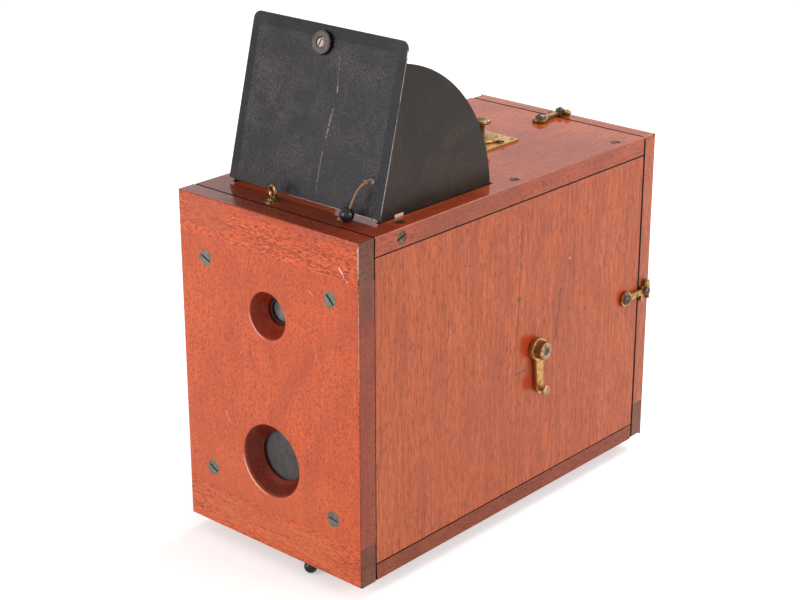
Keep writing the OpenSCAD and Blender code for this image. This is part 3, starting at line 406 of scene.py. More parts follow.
def blackFinish(name, look):
    # japanned sheet metal with clouding, grit, specks, scratches and rubbed edges
    material, tree, place = newMaterial(name)
    if look["onPlate"]:
        lowered = vectorNode(tree, "SUBTRACT", place, plateFoot)
        upright = addNode(tree, "ShaderNodeMapping", {"Vector": lowered, "Rotation": (plateLean, 0, 0)})
        place = upright.outputs[0]
    clouds = noiseNode(tree, place, look["cloudScale"], 6, 0.66, 0.6)
    color = mixedColor(tree, stepped(tree, clouds, 0.42, 0.62), look["color"], look["cloudColor"])
    color = addMarks(tree, color, place, patchArea, look["patches"])
    grit = noiseNode(tree, place, look["gritScale"], 3, 0.7)
    color = mixedColor(tree, stepped(tree, grit, 0.42, 0.60, look["grit"], 0.0), color, look["gritColor"])
    dots = placeGroup(tree, specks, place, {"scale": look["speckScale"], "threshold": look["speckLimit"]})
    color = mixedColor(tree, times(tree, dots["mask"], 0.7), color, look["speckColor"])
    color = addMarks(tree, color, place, thinLine, look["lines"])
    color = addEdgeWear(tree, color, place, look, 420.0)
    color = addMarks(tree, color, place, patchArea, look["rubbed"])
    return closeMaterial(material, {
        "Base Color": color, "Roughness": stepped(tree, clouds, 0.35, 0.7, look["smooth"], look["rough"]),
        "Specular IOR Level": look["specular"]}, grit, look["bump"])


def cloudedFinish(name, look):
    # glass, mirror and ebony, with two colours and two roughnesses in clouds
    material, tree, place = newMaterial(name)
    clouds = noiseNode(tree, place, *look["clouds"])
    color = mixedColor(tree, stepped(tree, clouds, *look["colorSteps"]), look["color"], look["cloudColor"])
    rough = stepped(tree, clouds, *look["roughSteps"])
    return closeMaterial(material, {"Base Color": color, "Roughness": rough, **look["more"]})


def twineFinish(name, look):
    # waxed twine: two plies as slanted bands round the cord's own length
    material, tree, place = newMaterial(name)
    along = addNode(tree, "ShaderNodeTexCoord").outputs["UV"]
    weave = {"Vector": along, "Scale": 16.0, "Distortion": 0.5, "Detail": 1.0}
    waves = addNode(tree, "ShaderNodeTexWave", weave, wave_type="BANDS", bands_direction="DIAGONAL")
    plies = waves.outputs["Fac"]
    fuzz = noiseNode(tree, place, 1500, 3, 0.6)
    color = mixedColor(tree, plies, look["dark"], look["pale"])
    color = mixedColor(tree, stepped(tree, fuzz, 0.5, 0.7, 0, 0.5), color, look["fuzz"])
    rough = stepped(tree, fuzz, 0.3, 0.7, 0.45, 0.7)
    return closeMaterial(material, {"Base Color": color, "Roughness": rough}, plies, 0.6)


def linesOn(face, rows):
    # scratches and pencil lines: both ends in millimetres on a face, width, breaks, colour, strength
    return [(face(*row[:2]), face(*row[2:4]), *row[4:]) for row in rows]


def paintedRimHighlight(height, radius, width):
    # the painted highlight on the lower left of a coned opening's rim, as short lines along its circle
    turns = [math.radians(angle) for angle in range(188, 262, 8)]
    points = [onFront(radius * math.cos(turn), height + radius * math.sin(turn)) for turn in turns]
    strengths = [0.35, 0.55, 0.75, 0.9, 0.9, 0.8, 0.65, 0.5, 0.3]
    return [(start, end, width, 0.15, (0.92, 0.66, 0.60), strength)
            for start, end, strength in zip(points, points[1:], strengths)]


# boxes by centre and size: faces that were cut or stained differently, and a thin layer at the top
rightFace = ((sideFace, 0, 0.096), (0.0008, 0.4, 0.4))
leftFace = ((-sideFace, 0, 0.096), (0.0008, 0.4, 0.4))
coneMouths = ((0, frontFace + 0.0070, 0.095), (0.06, 0.0128, 0.16))
upperCone = ((0, frontFace + 0.0070, 0.1367), (0.04, 0.0128, 0.04))
lowerCone = ((0, frontFace + 0.0070, 0.0530), (0.06, 0.0128, 0.06))
topSkin = 0.1922

scratchPale = (0.80, 0.42, 0.32)
scratchWhite = (0.95, 0.72, 0.62)
figureDark = (0.22, 0.035, 0.02)
sweepDark = (0.34, 0.055, 0.025)
# painted reflection of the lever on the side's polished wood
paintedLeverReflection = (0.36, 0.030, 0.006)
pencil = (0.10, 0.045, 0.035)
knotDark = (0.14, 0.046, 0.028)

# woods: patches are boxes with centre, size, softness, raggedness, colour and strength, and
# sweeps are arcs with centre, radius, width, colour and strength
frontWood = {
    "grain": "Z", "shift": (0.31, 0.12, 0.05), "wave": 0.010, "fleckSize": (900, 900, 520),
    "pale": (0.66, 0.112, 0.029), "dark": (0.37, 0.050, 0.018), "pore": (0.18, 0.028, 0.014),
    "figure": 0.16, "fibre": 0.20, "fleck": 0.74, "cloud": 0.26,
    "sweeps": [((0.128, 0, 0.034), 0.131, 0.008, sweepDark, 0.34),
               ((0.160, 0, 0.028), 0.133, 0.007, sweepDark, 0.28),
               ((-0.004, 0, 0.1105), 0.009, 0.003, sweepDark, 0.35),
               ((-0.095, 0, 0.020), 0.052, 0.008, sweepDark, 0.22)],
    "faces": [(rightFace, (0.46, 0.50, 0.62)), (leftFace, (0.46, 0.50, 0.62)),
              (upperCone, (0.42, 0.27, 0.25)), (lowerCone, (0.24, 0.13, 0.13))],
    "dulled": coneMouths,
    "patches": [
        ((sideFace, frontFace + 0.006, 0.160), (0.001, 0.014, 0.030), 0.9, 0.3, (0.10, 0.035, 0.02), 0.8),
        ((0, frontFace, 0.034), (0.14, 0.004, 0.055), 0.9, 0.4, (0.62, 0.15, 0.050), 0.3),
        ((0.001, frontFace + 0.009, 0.0395), (0.034, 0.009, 0.010), 0.9, 0.5, (0.30, 0.05, 0.022), 0.5),
        ((0.001, frontFace + 0.009, 0.1290), (0.020, 0.009, 0.007), 0.9, 0.5, (0.30, 0.05, 0.022), 0.5),
    ],
    "lines": linesOn(onFront, [
        (30.3, 159.2, 33.8, 156.8, 0.0006, 0.5, scratchPale, 0.5),
        (-21.5, 109.0, -16.5, 115.5, 0.0005, 0.7, scratchPale, 0.35),
        (-11.8, 118.5, -10.6, 111.2, 0.0005, 0.5, scratchPale, 0.45),
        (33.1, 130.5, 36.5, 121.5, 0.0006, 0.7, scratchPale, 0.5),
        (-50.3, 20.1, -46.0, 16.6, 0.0006, 0.5, scratchPale, 0.6),
        (-46.0, 16.6, -31.5, 7.9, 0.0005, 0.8, scratchPale, 0.5),
        (-33.9, 72.3, -31.0, 67.3, 0.0006, 0.5, scratchPale, 0.5),
        (-64.4, 58.7, -42.7, 55.8, 0.0007, 0.6, (0.45, 0.08, 0.03), 0.5),
        (2.2, 20.9, 3.2, 20.2, 0.0009, 0.2, scratchPale, 0.8),
        (58.5, 63.5, 60.4, 61.0, 0.0006, 0.4, scratchPale, 0.5),
    ]) + paintedRimHighlight(136.7, 13.4, 0.0007) + paintedRimHighlight(53.0, 21.2, 0.0008),
    "rubbed": [
        # painted highlight along the front's right vertical edge
        ((0.0649, frontFace + 0.0001, 0.140), (0.0009, 0.0009, 0.070), 0.9, 0.6, (0.92, 0.50, 0.40), 0.7),
    ],
    "edgeColor": (0.80, 0.26, 0.16), "edgeAmount": 0.6, "seamColor": (0.012, 0.004, 0.003),
    "coat": 0.38, "coatRoughness": 0.16, "specular": 0.10, "bump": 0.22,
}
frontCleatWood = {
    **frontWood,
    "grain": "X", "shift": (0.11, 0.42, 0.25), "fleckSize": (1150, 1150, 300),
    "pale": (0.76, 0.122, 0.030), "dark": (0.25, 0.034, 0.014), "pore": (0.10, 0.015, 0.010),
    "figure": 0.22, "fibre": 0.30, "fleck": 0.86, "cloud": 0.10, "sweeps": [],
    "faces": [(rightFace, (0.26, 0.42, 0.62)), (leftFace, (0.26, 0.42, 0.62)),
              # painted shade of the hood on the cleat's top face
              (((0, 0, topSkin), (0.4, 0.4, 0.0006)), (0.42, 0.36, 0.34))],
    "patches": [
        ((-0.045, frontFace, 0.184), (0.05, 0.004, 0.03), 0.9, 0.6, (0.46, 0.10, 0.045), 0.5),
        ((0, frontFace, 0.012), (0.14, 0.004, 0.026), 0.6, 0.3, (0.66, 0.17, 0.060), 0.35),
        ((0.0, frontFace, 0.190), (0.14, 0.004, 0.006), 0.9, 0.4, (0.42, 0.070, 0.028), 0.5),
    ],
    "lines": linesOn(onFront, [
        (52.1, 176.4, 55.1, 172.6, 0.0008, 0.25, scratchWhite, 0.9),
        (57.1, 170.4, 59.5, 169.0, 0.0008, 0.2, scratchWhite, 0.9),
        (-9.6, 178.0, -9.1, 177.2, 0.0013, 0.0, (0.10, 0.02, 0.015), 0.8),
        (12.7, 172.6, 13.4, 171.8, 0.0013, 0.0, (0.10, 0.02, 0.015), 0.8),
        (-40, 181.5, -5, 179.0, 0.0009, 0.5, figureDark, 0.7),
        (-5, 179.0, 22, 176.0, 0.0009, 0.5, figureDark, 0.7),
        (22, 176.0, 60, 172.5, 0.0009, 0.5, figureDark, 0.7),
        (-62, 176.5, -30, 174.0, 0.0007, 0.5, (0.25, 0.04, 0.02), 0.6),
        (-20, 9.5, 20, 12.0, 0.0009, 0.6, (0.25, 0.04, 0.02), 0.6),
        (-60, 14.0, -25, 17.5, 0.0008, 0.6, (0.25, 0.04, 0.02), 0.5),
    ]),
    "rubbed": [
        # painted highlight on the front's right edge at the cleat
        ((0.0649, frontFace + 0.0001, 0.182), (0.0011, 0.0011, 0.020), 0.6, 0.6, (0.95, 0.66, 0.58), 0.75),
        ((0.050, frontFace + 0.0001, 0.1919), (0.030, 0.0008, 0.0008), 0.8, 0.8, (0.85, 0.42, 0.32), 0.4),
    ],
}
topWood = {
    "grain": "Y", "shift": (0.21, 0.02, 0.15), "wave": 0.012, "fleckSize": (620, 620, 260),
    "pale": (0.50, 0.088, 0.019), "dark": (0.28, 0.036, 0.009), "pore": (0.09, 0.014, 0.007),
    "figure": 0.14, "fibre": 0.24, "fleck": 0.62, "cloud": 0.50,
    "faces": [(rightFace, (0.82, 0.84, 1.0)), (leftFace, (0.82, 0.84, 1.0))],
    "patches": [
        # painted shade of the hood on the top's strip in front of it
        ((0, frontFace + 0.0100, topSkin), (0.4, 0.052, 0.0006), 0.25, 0.02, (0.15, 0.019, 0.006), 0.72),
        # painted shade of the right cheek on the top's margin beside it
        ((0.0595, frontFace + 0.060, topSkin), (0.0105, 0.110, 0.0006), 0.5, 0.1, (0.20, 0.020, 0.006), 0.75),
        ((0.010, 0.050, topSkin), (0.10, 0.060, 0.001), 0.9, 0.8, (0.26, 0.034, 0.009), 0.4),
        ((sideFace, -0.045, 0.187), (0.001, 0.110, 0.016), 0.7, 0.3, (0.22, 0.042, 0.016), 0.5),
        ((0.050, 0.072, topSkin), (0.034, 0.090, 0.001), 0.8, 0.4, (0.24, 0.034, 0.010), 0.45),
    ],
    "edgeColor": (0.50, 0.16, 0.09), "edgeAmount": 0.3, "seamColor": (0.010, 0.004, 0.003),
    "coat": 0.60, "coatRoughness": 0.045, "specular": 0.03, "bump": 0.12,
}
bottomWood = {
    **topWood, "shift": (0.41, 0.32, 0.05), "coat": 0.35, "coatRoughness": 0.2, "bump": 0.2,
    "faces": [], "patches": [], "pale": (0.28, 0.064, 0.028), "dark": (0.17, 0.036, 0.018),
}
sideWood = {
    "grain": "Z", "shift": (0.05, 0.22, 0.35), "wave": 0.004, "fleckSize": (720, 720, 150),
    "pale": (0.52, 0.113, 0.033), "dark": (0.25, 0.048, 0.019), "pore": (0.10, 0.020, 0.012),
    "figure": 0.18, "fibre": 0.44, "fleck": 0.58, "cloud": 0.14, "faces": [],
    "patches": [
        # these three: painted reflection and shadow of the lever on the polished wood to its left
        (onSide(9.8, 95), (0.002, 0.013, 0.015), 0.35, 0.35, paintedLeverReflection, 0.85),
        (onSide(11.5, 73), (0.002, 0.012, 0.012), 0.35, 0.35, paintedLeverReflection, 0.8),
        (onSide(13.0, 82), (0.002, 0.008, 0.016), 0.8, 0.35, (0.26, 0.030, 0.008), 0.5),
        (onSide(98.5, 99), (0.002, 0.010, 0.014), 0.8, 0.4, (0.52, 0.045, 0.008), 0.75),
        (onSide(-30, 60), (0.002, 0.120, 0.080), 0.9, 0.6, (0.33, 0.066, 0.026), 0.3),
        (onSide(51.0, 131), (0.002, 0.0022, 0.060), 0.8, 0.6, (0.22, 0.05, 0.025), 0.45),
    ],
    "lines": linesOn(onSide, [
        (2.9, 168.0, 1.6, 126.0, 0.0016, 0.4, (0.14, 0.035, 0.022), 0.75),
        (1.6, 126.0, 0.6, 103.9, 0.0016, 0.2, pencil, 0.8),
        (-0.1, 125.4, 3.8, 125.1, 0.0014, 0.2, pencil, 0.75),
        (0.3, 103.0, -0.8, 80.9, 0.0014, 0.3, pencil, 0.65),
        (-0.8, 80.9, 9.1, 80.7, 0.0014, 0.3, pencil, 0.7),
        (38.9, 120.5, 35.7, 93.0, 0.0017, 0.2, pencil, 0.75),
        (34.6, 78.0, 33.9, 60.0, 0.0008, 0.8, pencil, 0.4),
        (-61.0, 62.0, -61.8, 30.0, 0.0008, 0.8, pencil, 0.45),
        (-40.0, 110.0, -40.8, 84.0, 0.0008, 0.9, pencil, 0.35),
        (-6.2, 55.9, -7.6, 46.0, 0.0006, 0.4, (0.50, 0.20, 0.12), 0.4),
        (50.0, 145.6, 50.7, 116.5, 0.0008, 0.6, (0.18, 0.04, 0.02), 0.6),
        (-42.0, 156.9, -41.4, 156.6, 0.0013, 0.0, (0.08, 0.03, 0.02), 0.9),
        (46.4, 137.2, 47.4, 136.5, 0.0015, 0.0, (0.60, 0.30, 0.14), 0.7),
        (-52.0, 97.5, -51.4, 97.0, 0.0010, 0.0, (0.12, 0.04, 0.03), 0.8),
    ]),
    "edgeColor": (0.45, 0.13, 0.07), "edgeAmount": 0.2, "seamColor": (0.010, 0.004, 0.003),
    "coat": 0.30, "coatRoughness": 0.22, "specular": 0.10, "bump": 0.25,
}
rearWood = {
    **sideWood, "shift": (0.15, 0.62, 0.15), "coat": 0.35, "coatRoughness": 0.16, "patches": [],
    "lines": [], "pale": (0.50, 0.125, 0.046), "edgeColor": (0.10, 0.060, 0.042), "edgeAmount": 0.75,
}
rearCleatWood = {
    **rearWood, "grain": "X", "shift": (0.15, 0.62, 0.75),
    "patches": [((side, 0.121, 0.0115), (0.001, 0.03, 0.0235), 0.02, 0.0, knotDark, 0.9)
                for side in (sideFace, -sideFace)],
}
plainWood = {
    **sideWood, "pale": (0.42, 0.20, 0.09), "dark": (0.28, 0.12, 0.06), "coat": 0.0, "patches": [],
    "lines": [],
}
blackWood = {"stretch": (300, 300, 60), "color": (0.012, 0.012, 0.012), "streak": (0.03, 0.029, 0.028)}

# metals
agedBrass = {"bright": (0.50, 0.29, 0.095), "dull": (0.17, 0.09, 0.034), "spot": (0.045, 0.022, 0.014),
             "amount": 0.95, "scale": 420.0, "edgeColor": (0.84, 0.57, 0.26), "edgeAmount": 0.75,
             "rougher": 0.02, "metallic": 1.0, "bump": 0.35}
leverBrass = {**agedBrass, "bright": (0.60, 0.34, 0.11), "dull": (0.27, 0.14, 0.048), "amount": 0.8,
              "edgeColor": (0.42, 0.24, 0.09)}
plateBrass = {**agedBrass, "bright": (0.66, 0.40, 0.13), "dull": (0.38, 0.21, 0.07), "amount": 0.8}
buttonBronze = {**agedBrass, "bright": (0.44, 0.27, 0.14), "dull": (0.18, 0.10, 0.055),
                "edgeColor": (0.74, 0.52, 0.34)}
eyeBronze = {**agedBrass, "bright": (0.44, 0.26, 0.10), "dull": (0.11, 0.06, 0.025), "scale": 600.0}
capBronze = {**agedBrass, "bright": (0.26, 0.16, 0.07), "dull": (0.10, 0.06, 0.03),
             "edgeColor": (0.70, 0.48, 0.22)}
darkSteel = {"bright": (0.17, 0.17, 0.145), "dull": (0.09, 0.09, 0.075), "spot": (0.05, 0.026, 0.014),
             "amount": 0.6, "scale": 420.0, "edgeColor": (0.30, 0.29, 0.25), "edgeAmount": 0.5,
             "rougher": 0.08, "metallic": 1.0, "bump": 0.3}
topScrewBronze = {**darkSteel, "bright": (0.15, 0.115, 0.085), "dull": (0.055, 0.038, 0.028),
                  "edgeColor": (0.34, 0.25, 0.18), "amount": 0.8}
hookSteel = {**darkSteel, "bright": (0.12, 0.085, 0.070), "dull": (0.035, 0.026, 0.024),
             "edgeColor": (0.30, 0.24, 0.21), "rougher": -0.02}
knobSteel = {**darkSteel, "bright": (0.105, 0.09, 0.088), "dull": (0.045, 0.037, 0.036), "amount": 0.5,
             "edgeColor": (0.36, 0.33, 0.32), "edgeAmount": 0.45, "rougher": -0.10, "bump": 0.05}
screwCopper = {**darkSteel, "bright": (0.34, 0.26, 0.23), "dull": (0.22, 0.15, 0.13),
               "edgeColor": (0.50, 0.41, 0.37)}
shutterMetal = {"bright": (0.060, 0.052, 0.050), "dull": (0.040, 0.036, 0.035), "spot": (0.02, 0.017, 0.016),
                "amount": 0.6, "scale": 180.0, "edgeColor": (0.1, 0.09, 0.09), "edgeAmount": 0.2,
                "rougher": 0.25, "metallic": 0.2, "bump": 0.2}

# japanned black, with the patches and scratches of the hood plate measured from its foot
brownRub = (0.098, 0.080, 0.076)
rimBlack = (0.006, 0.006, 0.008)
footBlack = (0.004, 0.004, 0.005)
dustPale = (0.42, 0.37, 0.33)
hoodBlack = {
    "onPlate": True, "color": (0.030, 0.0275, 0.031), "cloudColor": (0.064, 0.055, 0.057), "cloudScale": 75.0,
    "grit": 0.72, "gritScale": 800.0, "gritColor": (0.010, 0.009, 0.011),
    "speckScale": 900.0, "speckLimit": 0.645, "speckColor": (0.14, 0.12, 0.112),
    "edgeColor": (0.24, 0.21, 0.20), "edgeAmount": 0.45, "smooth": 0.32, "rough": 0.50,
    "specular": 0.17, "bump": 0.8,
    "patches": [
        (onPlate(-38.6, 61.6), (0.026, 0.01, 0.022), 0.9, 1.6, brownRub, 0.75),
        (onPlate(-31.8, 48.1), (0.010, 0.01, 0.016), 0.9, 1.6, brownRub, 0.75),
        (onPlate(-24.7, 39.4), (0.008, 0.01, 0.006), 0.9, 1.4, brownRub, 0.7),
        (onPlate(-47.0, 38.0), (0.010, 0.01, 0.030), 0.9, 1.6, brownRub, 0.45),
        (onPlate(10.0, 74.0), (0.022, 0.01, 0.020), 0.9, 1.6, brownRub, 0.60),
        (onPlate(30.0, 68.0), (0.030, 0.01, 0.018), 0.9, 1.8, brownRub, 0.30),
        (onPlate(-10.0, 18.0), (0.040, 0.01, 0.022), 0.9, 1.8, brownRub, 0.28),
        (onPlate(-52.0, 45.0), (0.007, 0.01, 0.100), 0.35, 0.12, rimBlack, 0.78),
        (onPlate(51.8, 45.0), (0.008, 0.01, 0.100), 0.35, 0.12, rimBlack, 0.78),
        (onPlate(0, 87.0), (0.112, 0.01, 0.0085), 0.35, 0.10, rimBlack, 0.72),
        (onPlate(45.5, 10.5), (0.009, 0.01, 0.012), 0.9, 1.2, footBlack, 0.9),
        (onPlate(-12.1, 4.0), (0.010, 0.01, 0.008), 0.9, 1.2, footBlack, 0.9),
        (onPlate(34.0, 3.0), (0.016, 0.01, 0.006), 0.9, 1.2, footBlack, 0.8),
    ],
    "lines": linesOn(onPlate, [
        (10.4, 75.5, 12.2, 58.1, 0.0010, 0.8, (0.20, 0.15, 0.13), 0.45),
        (12.1, 60.5, 12.4, 57.6, 0.0008, 0.0, dustPale, 0.6),
        (11.3, 48.7, 9.6, 34.0, 0.0014, 0.97, dustPale, 0.45),
        (8.7, 26.6, 8.4, 10.6, 0.0006, 0.3, dustPale, 0.45),
        (8.4, 9.5, 8.6, 4.0, 0.0006, 0.6, dustPale, 0.3),
        (54.3, 3.0, 54.6, 60.0, 0.0007, 0.55, (0.50, 0.45, 0.42), 0.75),
        (54.6, 60.0, 54.5, 84.0, 0.0009, 0.30, (0.80, 0.72, 0.68), 0.9),
        (-54.4, 5.0, -54.4, 84.0, 0.0005, 0.7, (0.25, 0.23, 0.22), 0.5),
    ]),
    "rubbed": [(onPlate(54.5, 83.6), (0.0012, 0.004, 0.0050), 0.6, 0.5, (0.90, 0.84, 0.80), 0.9)],
}
cheekBlack = {
    **hoodBlack, "onPlate": False, "color": (0.024, 0.017, 0.013), "cloudColor": (0.040, 0.028, 0.021),
    "cloudScale": 30.0, "grit": 0.40, "gritColor": (0.011, 0.008, 0.006),
    "speckLimit": 0.72, "speckColor": (0.06, 0.05, 0.042),
    "edgeColor": (0.16, 0.15, 0.14), "edgeAmount": 0.5, "smooth": 0.30, "rough": 0.42,
    "specular": 0.15, "bump": 0.25, "patches": [], "lines": [],
    "rubbed": [((0.0523, frontFace + 0.0443, topSkin), (0.006, 0.0070, 0.0030), 0.15, 0.25,
                (0.62, 0.54, 0.46), 0.95)],
}
ringBlack = {**cheekBlack, "rubbed": []}
sheathBlack = {**cheekBlack, "color": (0.02, 0.02, 0.022), "rubbed": []}

# ebony, glass and mirror: noise as scale, detail and roughness, steps as limits and what they give
ebony = {"clouds": (260, 3, 0.5), "color": (0.008, 0.006, 0.006), "cloudColor": (0.022, 0.015, 0.013),
         "colorSteps": (0.4, 0.7), "roughSteps": (0.4, 0.7, 0.16, 0.28),
         "more": {"Specular IOR Level": 0.15, "Coat Weight": 0.30, "Coat Roughness": 0.06}}
lensGlass = {"clouds": (90, 4, 0.6), "color": (0.14, 0.128, 0.125), "cloudColor": (0.34, 0.32, 0.315),
             "colorSteps": (0.45, 0.75), "roughSteps": (0.35, 0.75, 0.10, 0.22),
             "more": {"Transmission Weight": 0.2, "IOR": 1.52}}
plateGlass = {**lensGlass, "clouds": (120, 4, 0.6), "color": (0.9, 0.95, 0.92),
              "cloudColor": (0.8, 0.85, 0.8), "roughSteps": (0.35, 0.75, 0.03, 0.1),
              "more": {"Transmission Weight": 0.95, "IOR": 1.52}}
groundGlass = {**lensGlass, "clouds": (500, 4, 0.6), "color": (0.86, 0.9, 0.9),
               "cloudColor": (0.72, 0.75, 0.74), "roughSteps": (0.35, 0.75, 0.5, 0.7),
               "more": {"Transmission Weight": 0.6, "IOR": 1.52}}
mirror = {"clouds": (60, 4, 0.6), "color": (0.86, 0.87, 0.88), "cloudColor": (0.6, 0.6, 0.58),
          "colorSteps": (0.45, 0.8), "roughSteps": (0.45, 0.8, 0.03, 0.16), "more": {"Metallic": 1.0}}
waxedTwine = {"dark": (0.22, 0.09, 0.03), "pale": (0.50, 0.25, 0.10), "fuzz": (0.64, 0.38, 0.19)}
bareTwine = {"dark": (0.45, 0.30, 0.16), "pale": (0.74, 0.58, 0.38), "fuzz": (0.85, 0.74, 0.58)}

looks = {
    woodFinish: {
        "frontWood": frontWood, "frontCleatWood": frontCleatWood, "topWood": topWood,
        "bottomWood": bottomWood, "sideWood": sideWood, "rearWood": rearWood,
        "rearCleatWood": rearCleatWood, "plainWood": plainWood},
    darkWoodFinish: {"blackWood": blackWood},
    metalFinish: {
        "agedBrass": agedBrass, "buttonBronze": buttonBronze, "eyeBronze": eyeBronze,
        "leverBrass": leverBrass, "plateBrass": plateBrass, "capBronze": capBronze,
        "darkSteel": darkSteel, "topScrewBronze": topScrewBronze, "hookSteel": hookSteel,
        "knobSteel": knobSteel, "screwCopper": screwCopper, "shutterMetal": shutterMetal},
    blackFinish: {
        "hoodBlack": hoodBlack, "cheekBlack": cheekBlack, "ringBlack": ringBlack, "sheathBlack": sheathBlack},
    cloudedFinish: {
        "ebony": ebony, "lensGlass": lensGlass, "plateGlass": plateGlass, "groundGlass": groundGlass,
        "mirror": mirror},
    twineFinish: {"twine": waxedTwine, "bareTwine": bareTwine},
}
finishes = {name: makeFinish(name, look)
            for makeFinish, kind in looks.items() for name, look in kind.items()}
print("finishes made:", len(finishes))

# how the CAD meshes are read: distances in metres, angles in degrees
meshing = {
    "weld": 0.000002,       # points nearer than this are one
    "flatTurn": 0.4,        # faces that turn by less are merged
    "curveFrom": 0.5,       # a turn between these two belongs to a curved face
    "curveTo": 32,
    "planeReach": 0.00015,  # an edge this near a plane lies on it
    "straight": 0.0075,     # a longer edge is a board's own, and not part of a round hole
}


# pieces copied from the CAD nodes, with eased edges
def openCopy(nodeName):
    bm = bmesh.new()
    bm.from_mesh(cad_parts[nodeName].data)
    bmesh.ops.remove_doubles(bm, verts=bm.verts, dist=meshing["weld"])
    bmesh.ops.dissolve_limit(bm, angle_limit=math.radians(meshing["flatTurn"]), verts=bm.verts,
                             edges=bm.edges, use_dissolve_boundaries=False)
    flat = bm.faces.layers.int.new("flat")  # 1 on faces that join no curved face
    for face in bm.faces:
        turns = [math.degrees(edge.calc_face_angle(0)) for edge in face.edges if len(edge.link_faces) == 2]
        face[flat] = 0 if any(meshing["curveFrom"] < turn < meshing["curveTo"] for turn in turns) else 1
    return bm


def closePiece(bm, name, bodyName, nodeName, finish):
    flat = bm.faces.layers.int["flat"]
    smooth = [face[flat] == 0 for face in bm.faces]
    bm.faces.layers.int.remove(flat)
    mesh = bpy.data.meshes.new(name)
    bm.normal_update()
    bm.to_mesh(mesh)
    bm.free()
    mesh.materials.append(finishes[finish])
    if "custom_normal" in mesh.attributes:
        mesh.attributes.remove(mesh.attributes["custom_normal"])
    mesh.set_sharp_from_angle(angle=math.radians(meshing["curveTo"]))
    mesh.polygons.foreach_set("use_smooth", smooth)
    piece = bpy.data.objects.new(name, mesh)
    bpy.context.scene.collection.objects.link(piece)
    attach(piece, bodyName)
    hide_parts(nodeName)
    return piece


def easeEdges(bm, edges, width, segments, marks):
    # bevels the edges and marks the new faces, as pairs of layer and amount
    if not edges:
        return
    result = bmesh.ops.bevel(bm, geom=edges, offset=width, offset_type="OFFSET", affect="EDGES",
                             segments=segments, profile=0.5, material=-1, clamp_overlap=True)
    flat = bm.faces.layers.int["flat"]
    for face in result["faces"]:
        face[flat] = 0
        for layer, amount in marks:
            face[layer] = amount


def onPlane(edge, axis, place):
    return all(abs(vert.co[axis] - place) < meshing["planeReach"] for vert in edge.verts)


def sharpEdges(bm, degrees, shortest=0.0):
    return [edge for edge in bm.edges if len(edge.link_faces) == 2 and edge.calc_length() > shortest
            and edge.calc_face_angle(0) > math.radians(degrees)]


# planes where one board meets the next, as axis, place, easing and darkness of the line
frontSeam, rearSeam = (1, -0.11525, 0.00060, 1.0), (1, 0.11575, 0.00078, 1.0)
floorSeam, ceilingSeam = (2, 0.0098, 0.00044, 1.0), (2, 0.1812, 0.00050, 1.0)
lowCleatSeam, highCleatSeam = (2, 0.023, 0.00014, 0.75), (2, 0.170, 0.00012, 0.55)
cleatSeams = [lowCleatSeam, highCleatSeam]
sidePanel = {"finish": "sideWood", "slot": "mahogany_side", "body": "case", "round": 0.0003,
             "seams": [frontSeam, rearSeam, floorSeam, ceilingSeam]}
boards = {
    "front_board": {"finish": "frontWood", "slot": "mahogany_front", "body": "case", "round": 0.0005,
                    "seams": [frontSeam, *cleatSeams], "rim": 0.0004},
    "front_cleats": {"finish": "frontCleatWood", "slot": "mahogany_cleat", "body": "case", "round": 0.0005,
                     "seams": [frontSeam, *cleatSeams]},
    "top_board": {"finish": "topWood", "slot": "mahogany_top", "body": "case", "round": 0.0007,
                  "seams": [frontSeam, rearSeam, ceilingSeam]},
    "bottom_board": {"finish": "bottomWood", "slot": "mahogany_top", "body": "case", "round": 0.0006,
                     "seams": [frontSeam, rearSeam, floorSeam]},
    "side_panel_right": sidePanel,
    "side_panel_left": sidePanel,
    "rear_board": {"finish": "rearWood", "slot": "mahogany_rear", "body": "back", "round": 0.0005,
                   "seams": [rearSeam, *cleatSeams]},
    "rear_cleats": {"finish": "rearCleatWood", "slot": "mahogany_cleat", "body": "back", "round": 0.0005,
                    "seams": [rearSeam, *cleatSeams], "corner": 0.0021},
}


def makeBoard(nodeName, look):
    bm = openCopy(nodeName)
    straight = meshing["straight"]
    wear = bm.faces.layers.float.new("edgeWear")
    line = bm.faces.layers.float.new("jointLine")
    for axis, place, width, darkness in look["seams"]:
        joint = [edge for edge in sharpEdges(bm, 40, straight) if onPlane(edge, axis, place)]
        easeEdges(bm, joint, width, 1, ((wear, 0.0), (line, darkness)))
    if "rim" in look:
        rim = [edge for edge in sharpEdges(bm, 25) if edge.calc_length() < straight
               and onPlane(edge, 1, frontFace) and max(abs(vert.co.x) for vert in edge.verts) < 0.03]
        easeEdges(bm, rim, look["rim"], 2, ((wear, 0.6), (line, 0.0)))
    if "corner" in look:
        corner = [edge for edge in sharpEdges(bm, 60, straight)
                  if (onPlane(edge, 0, sideFace) or onPlane(edge, 0, -sideFace))
                  and (onPlane(edge, 2, topFace) or onPlane(edge, 2, 0.0))]
        easeEdges(bm, corner, look["corner"], 5, ((wear, 0.5), (line, 0.0)))
    easeEdges(bm, sharpEdges(bm, 60, straight), look["round"], 3, ((wear, 1.0), (line, 0.0)))
    closePiece(bm, nodeName + "_wood", look["body"], nodeName, look["finish"])


for nodeName, look in boards.items():
    makeBoard(nodeName, look)
print("boards eased:", len(boards))

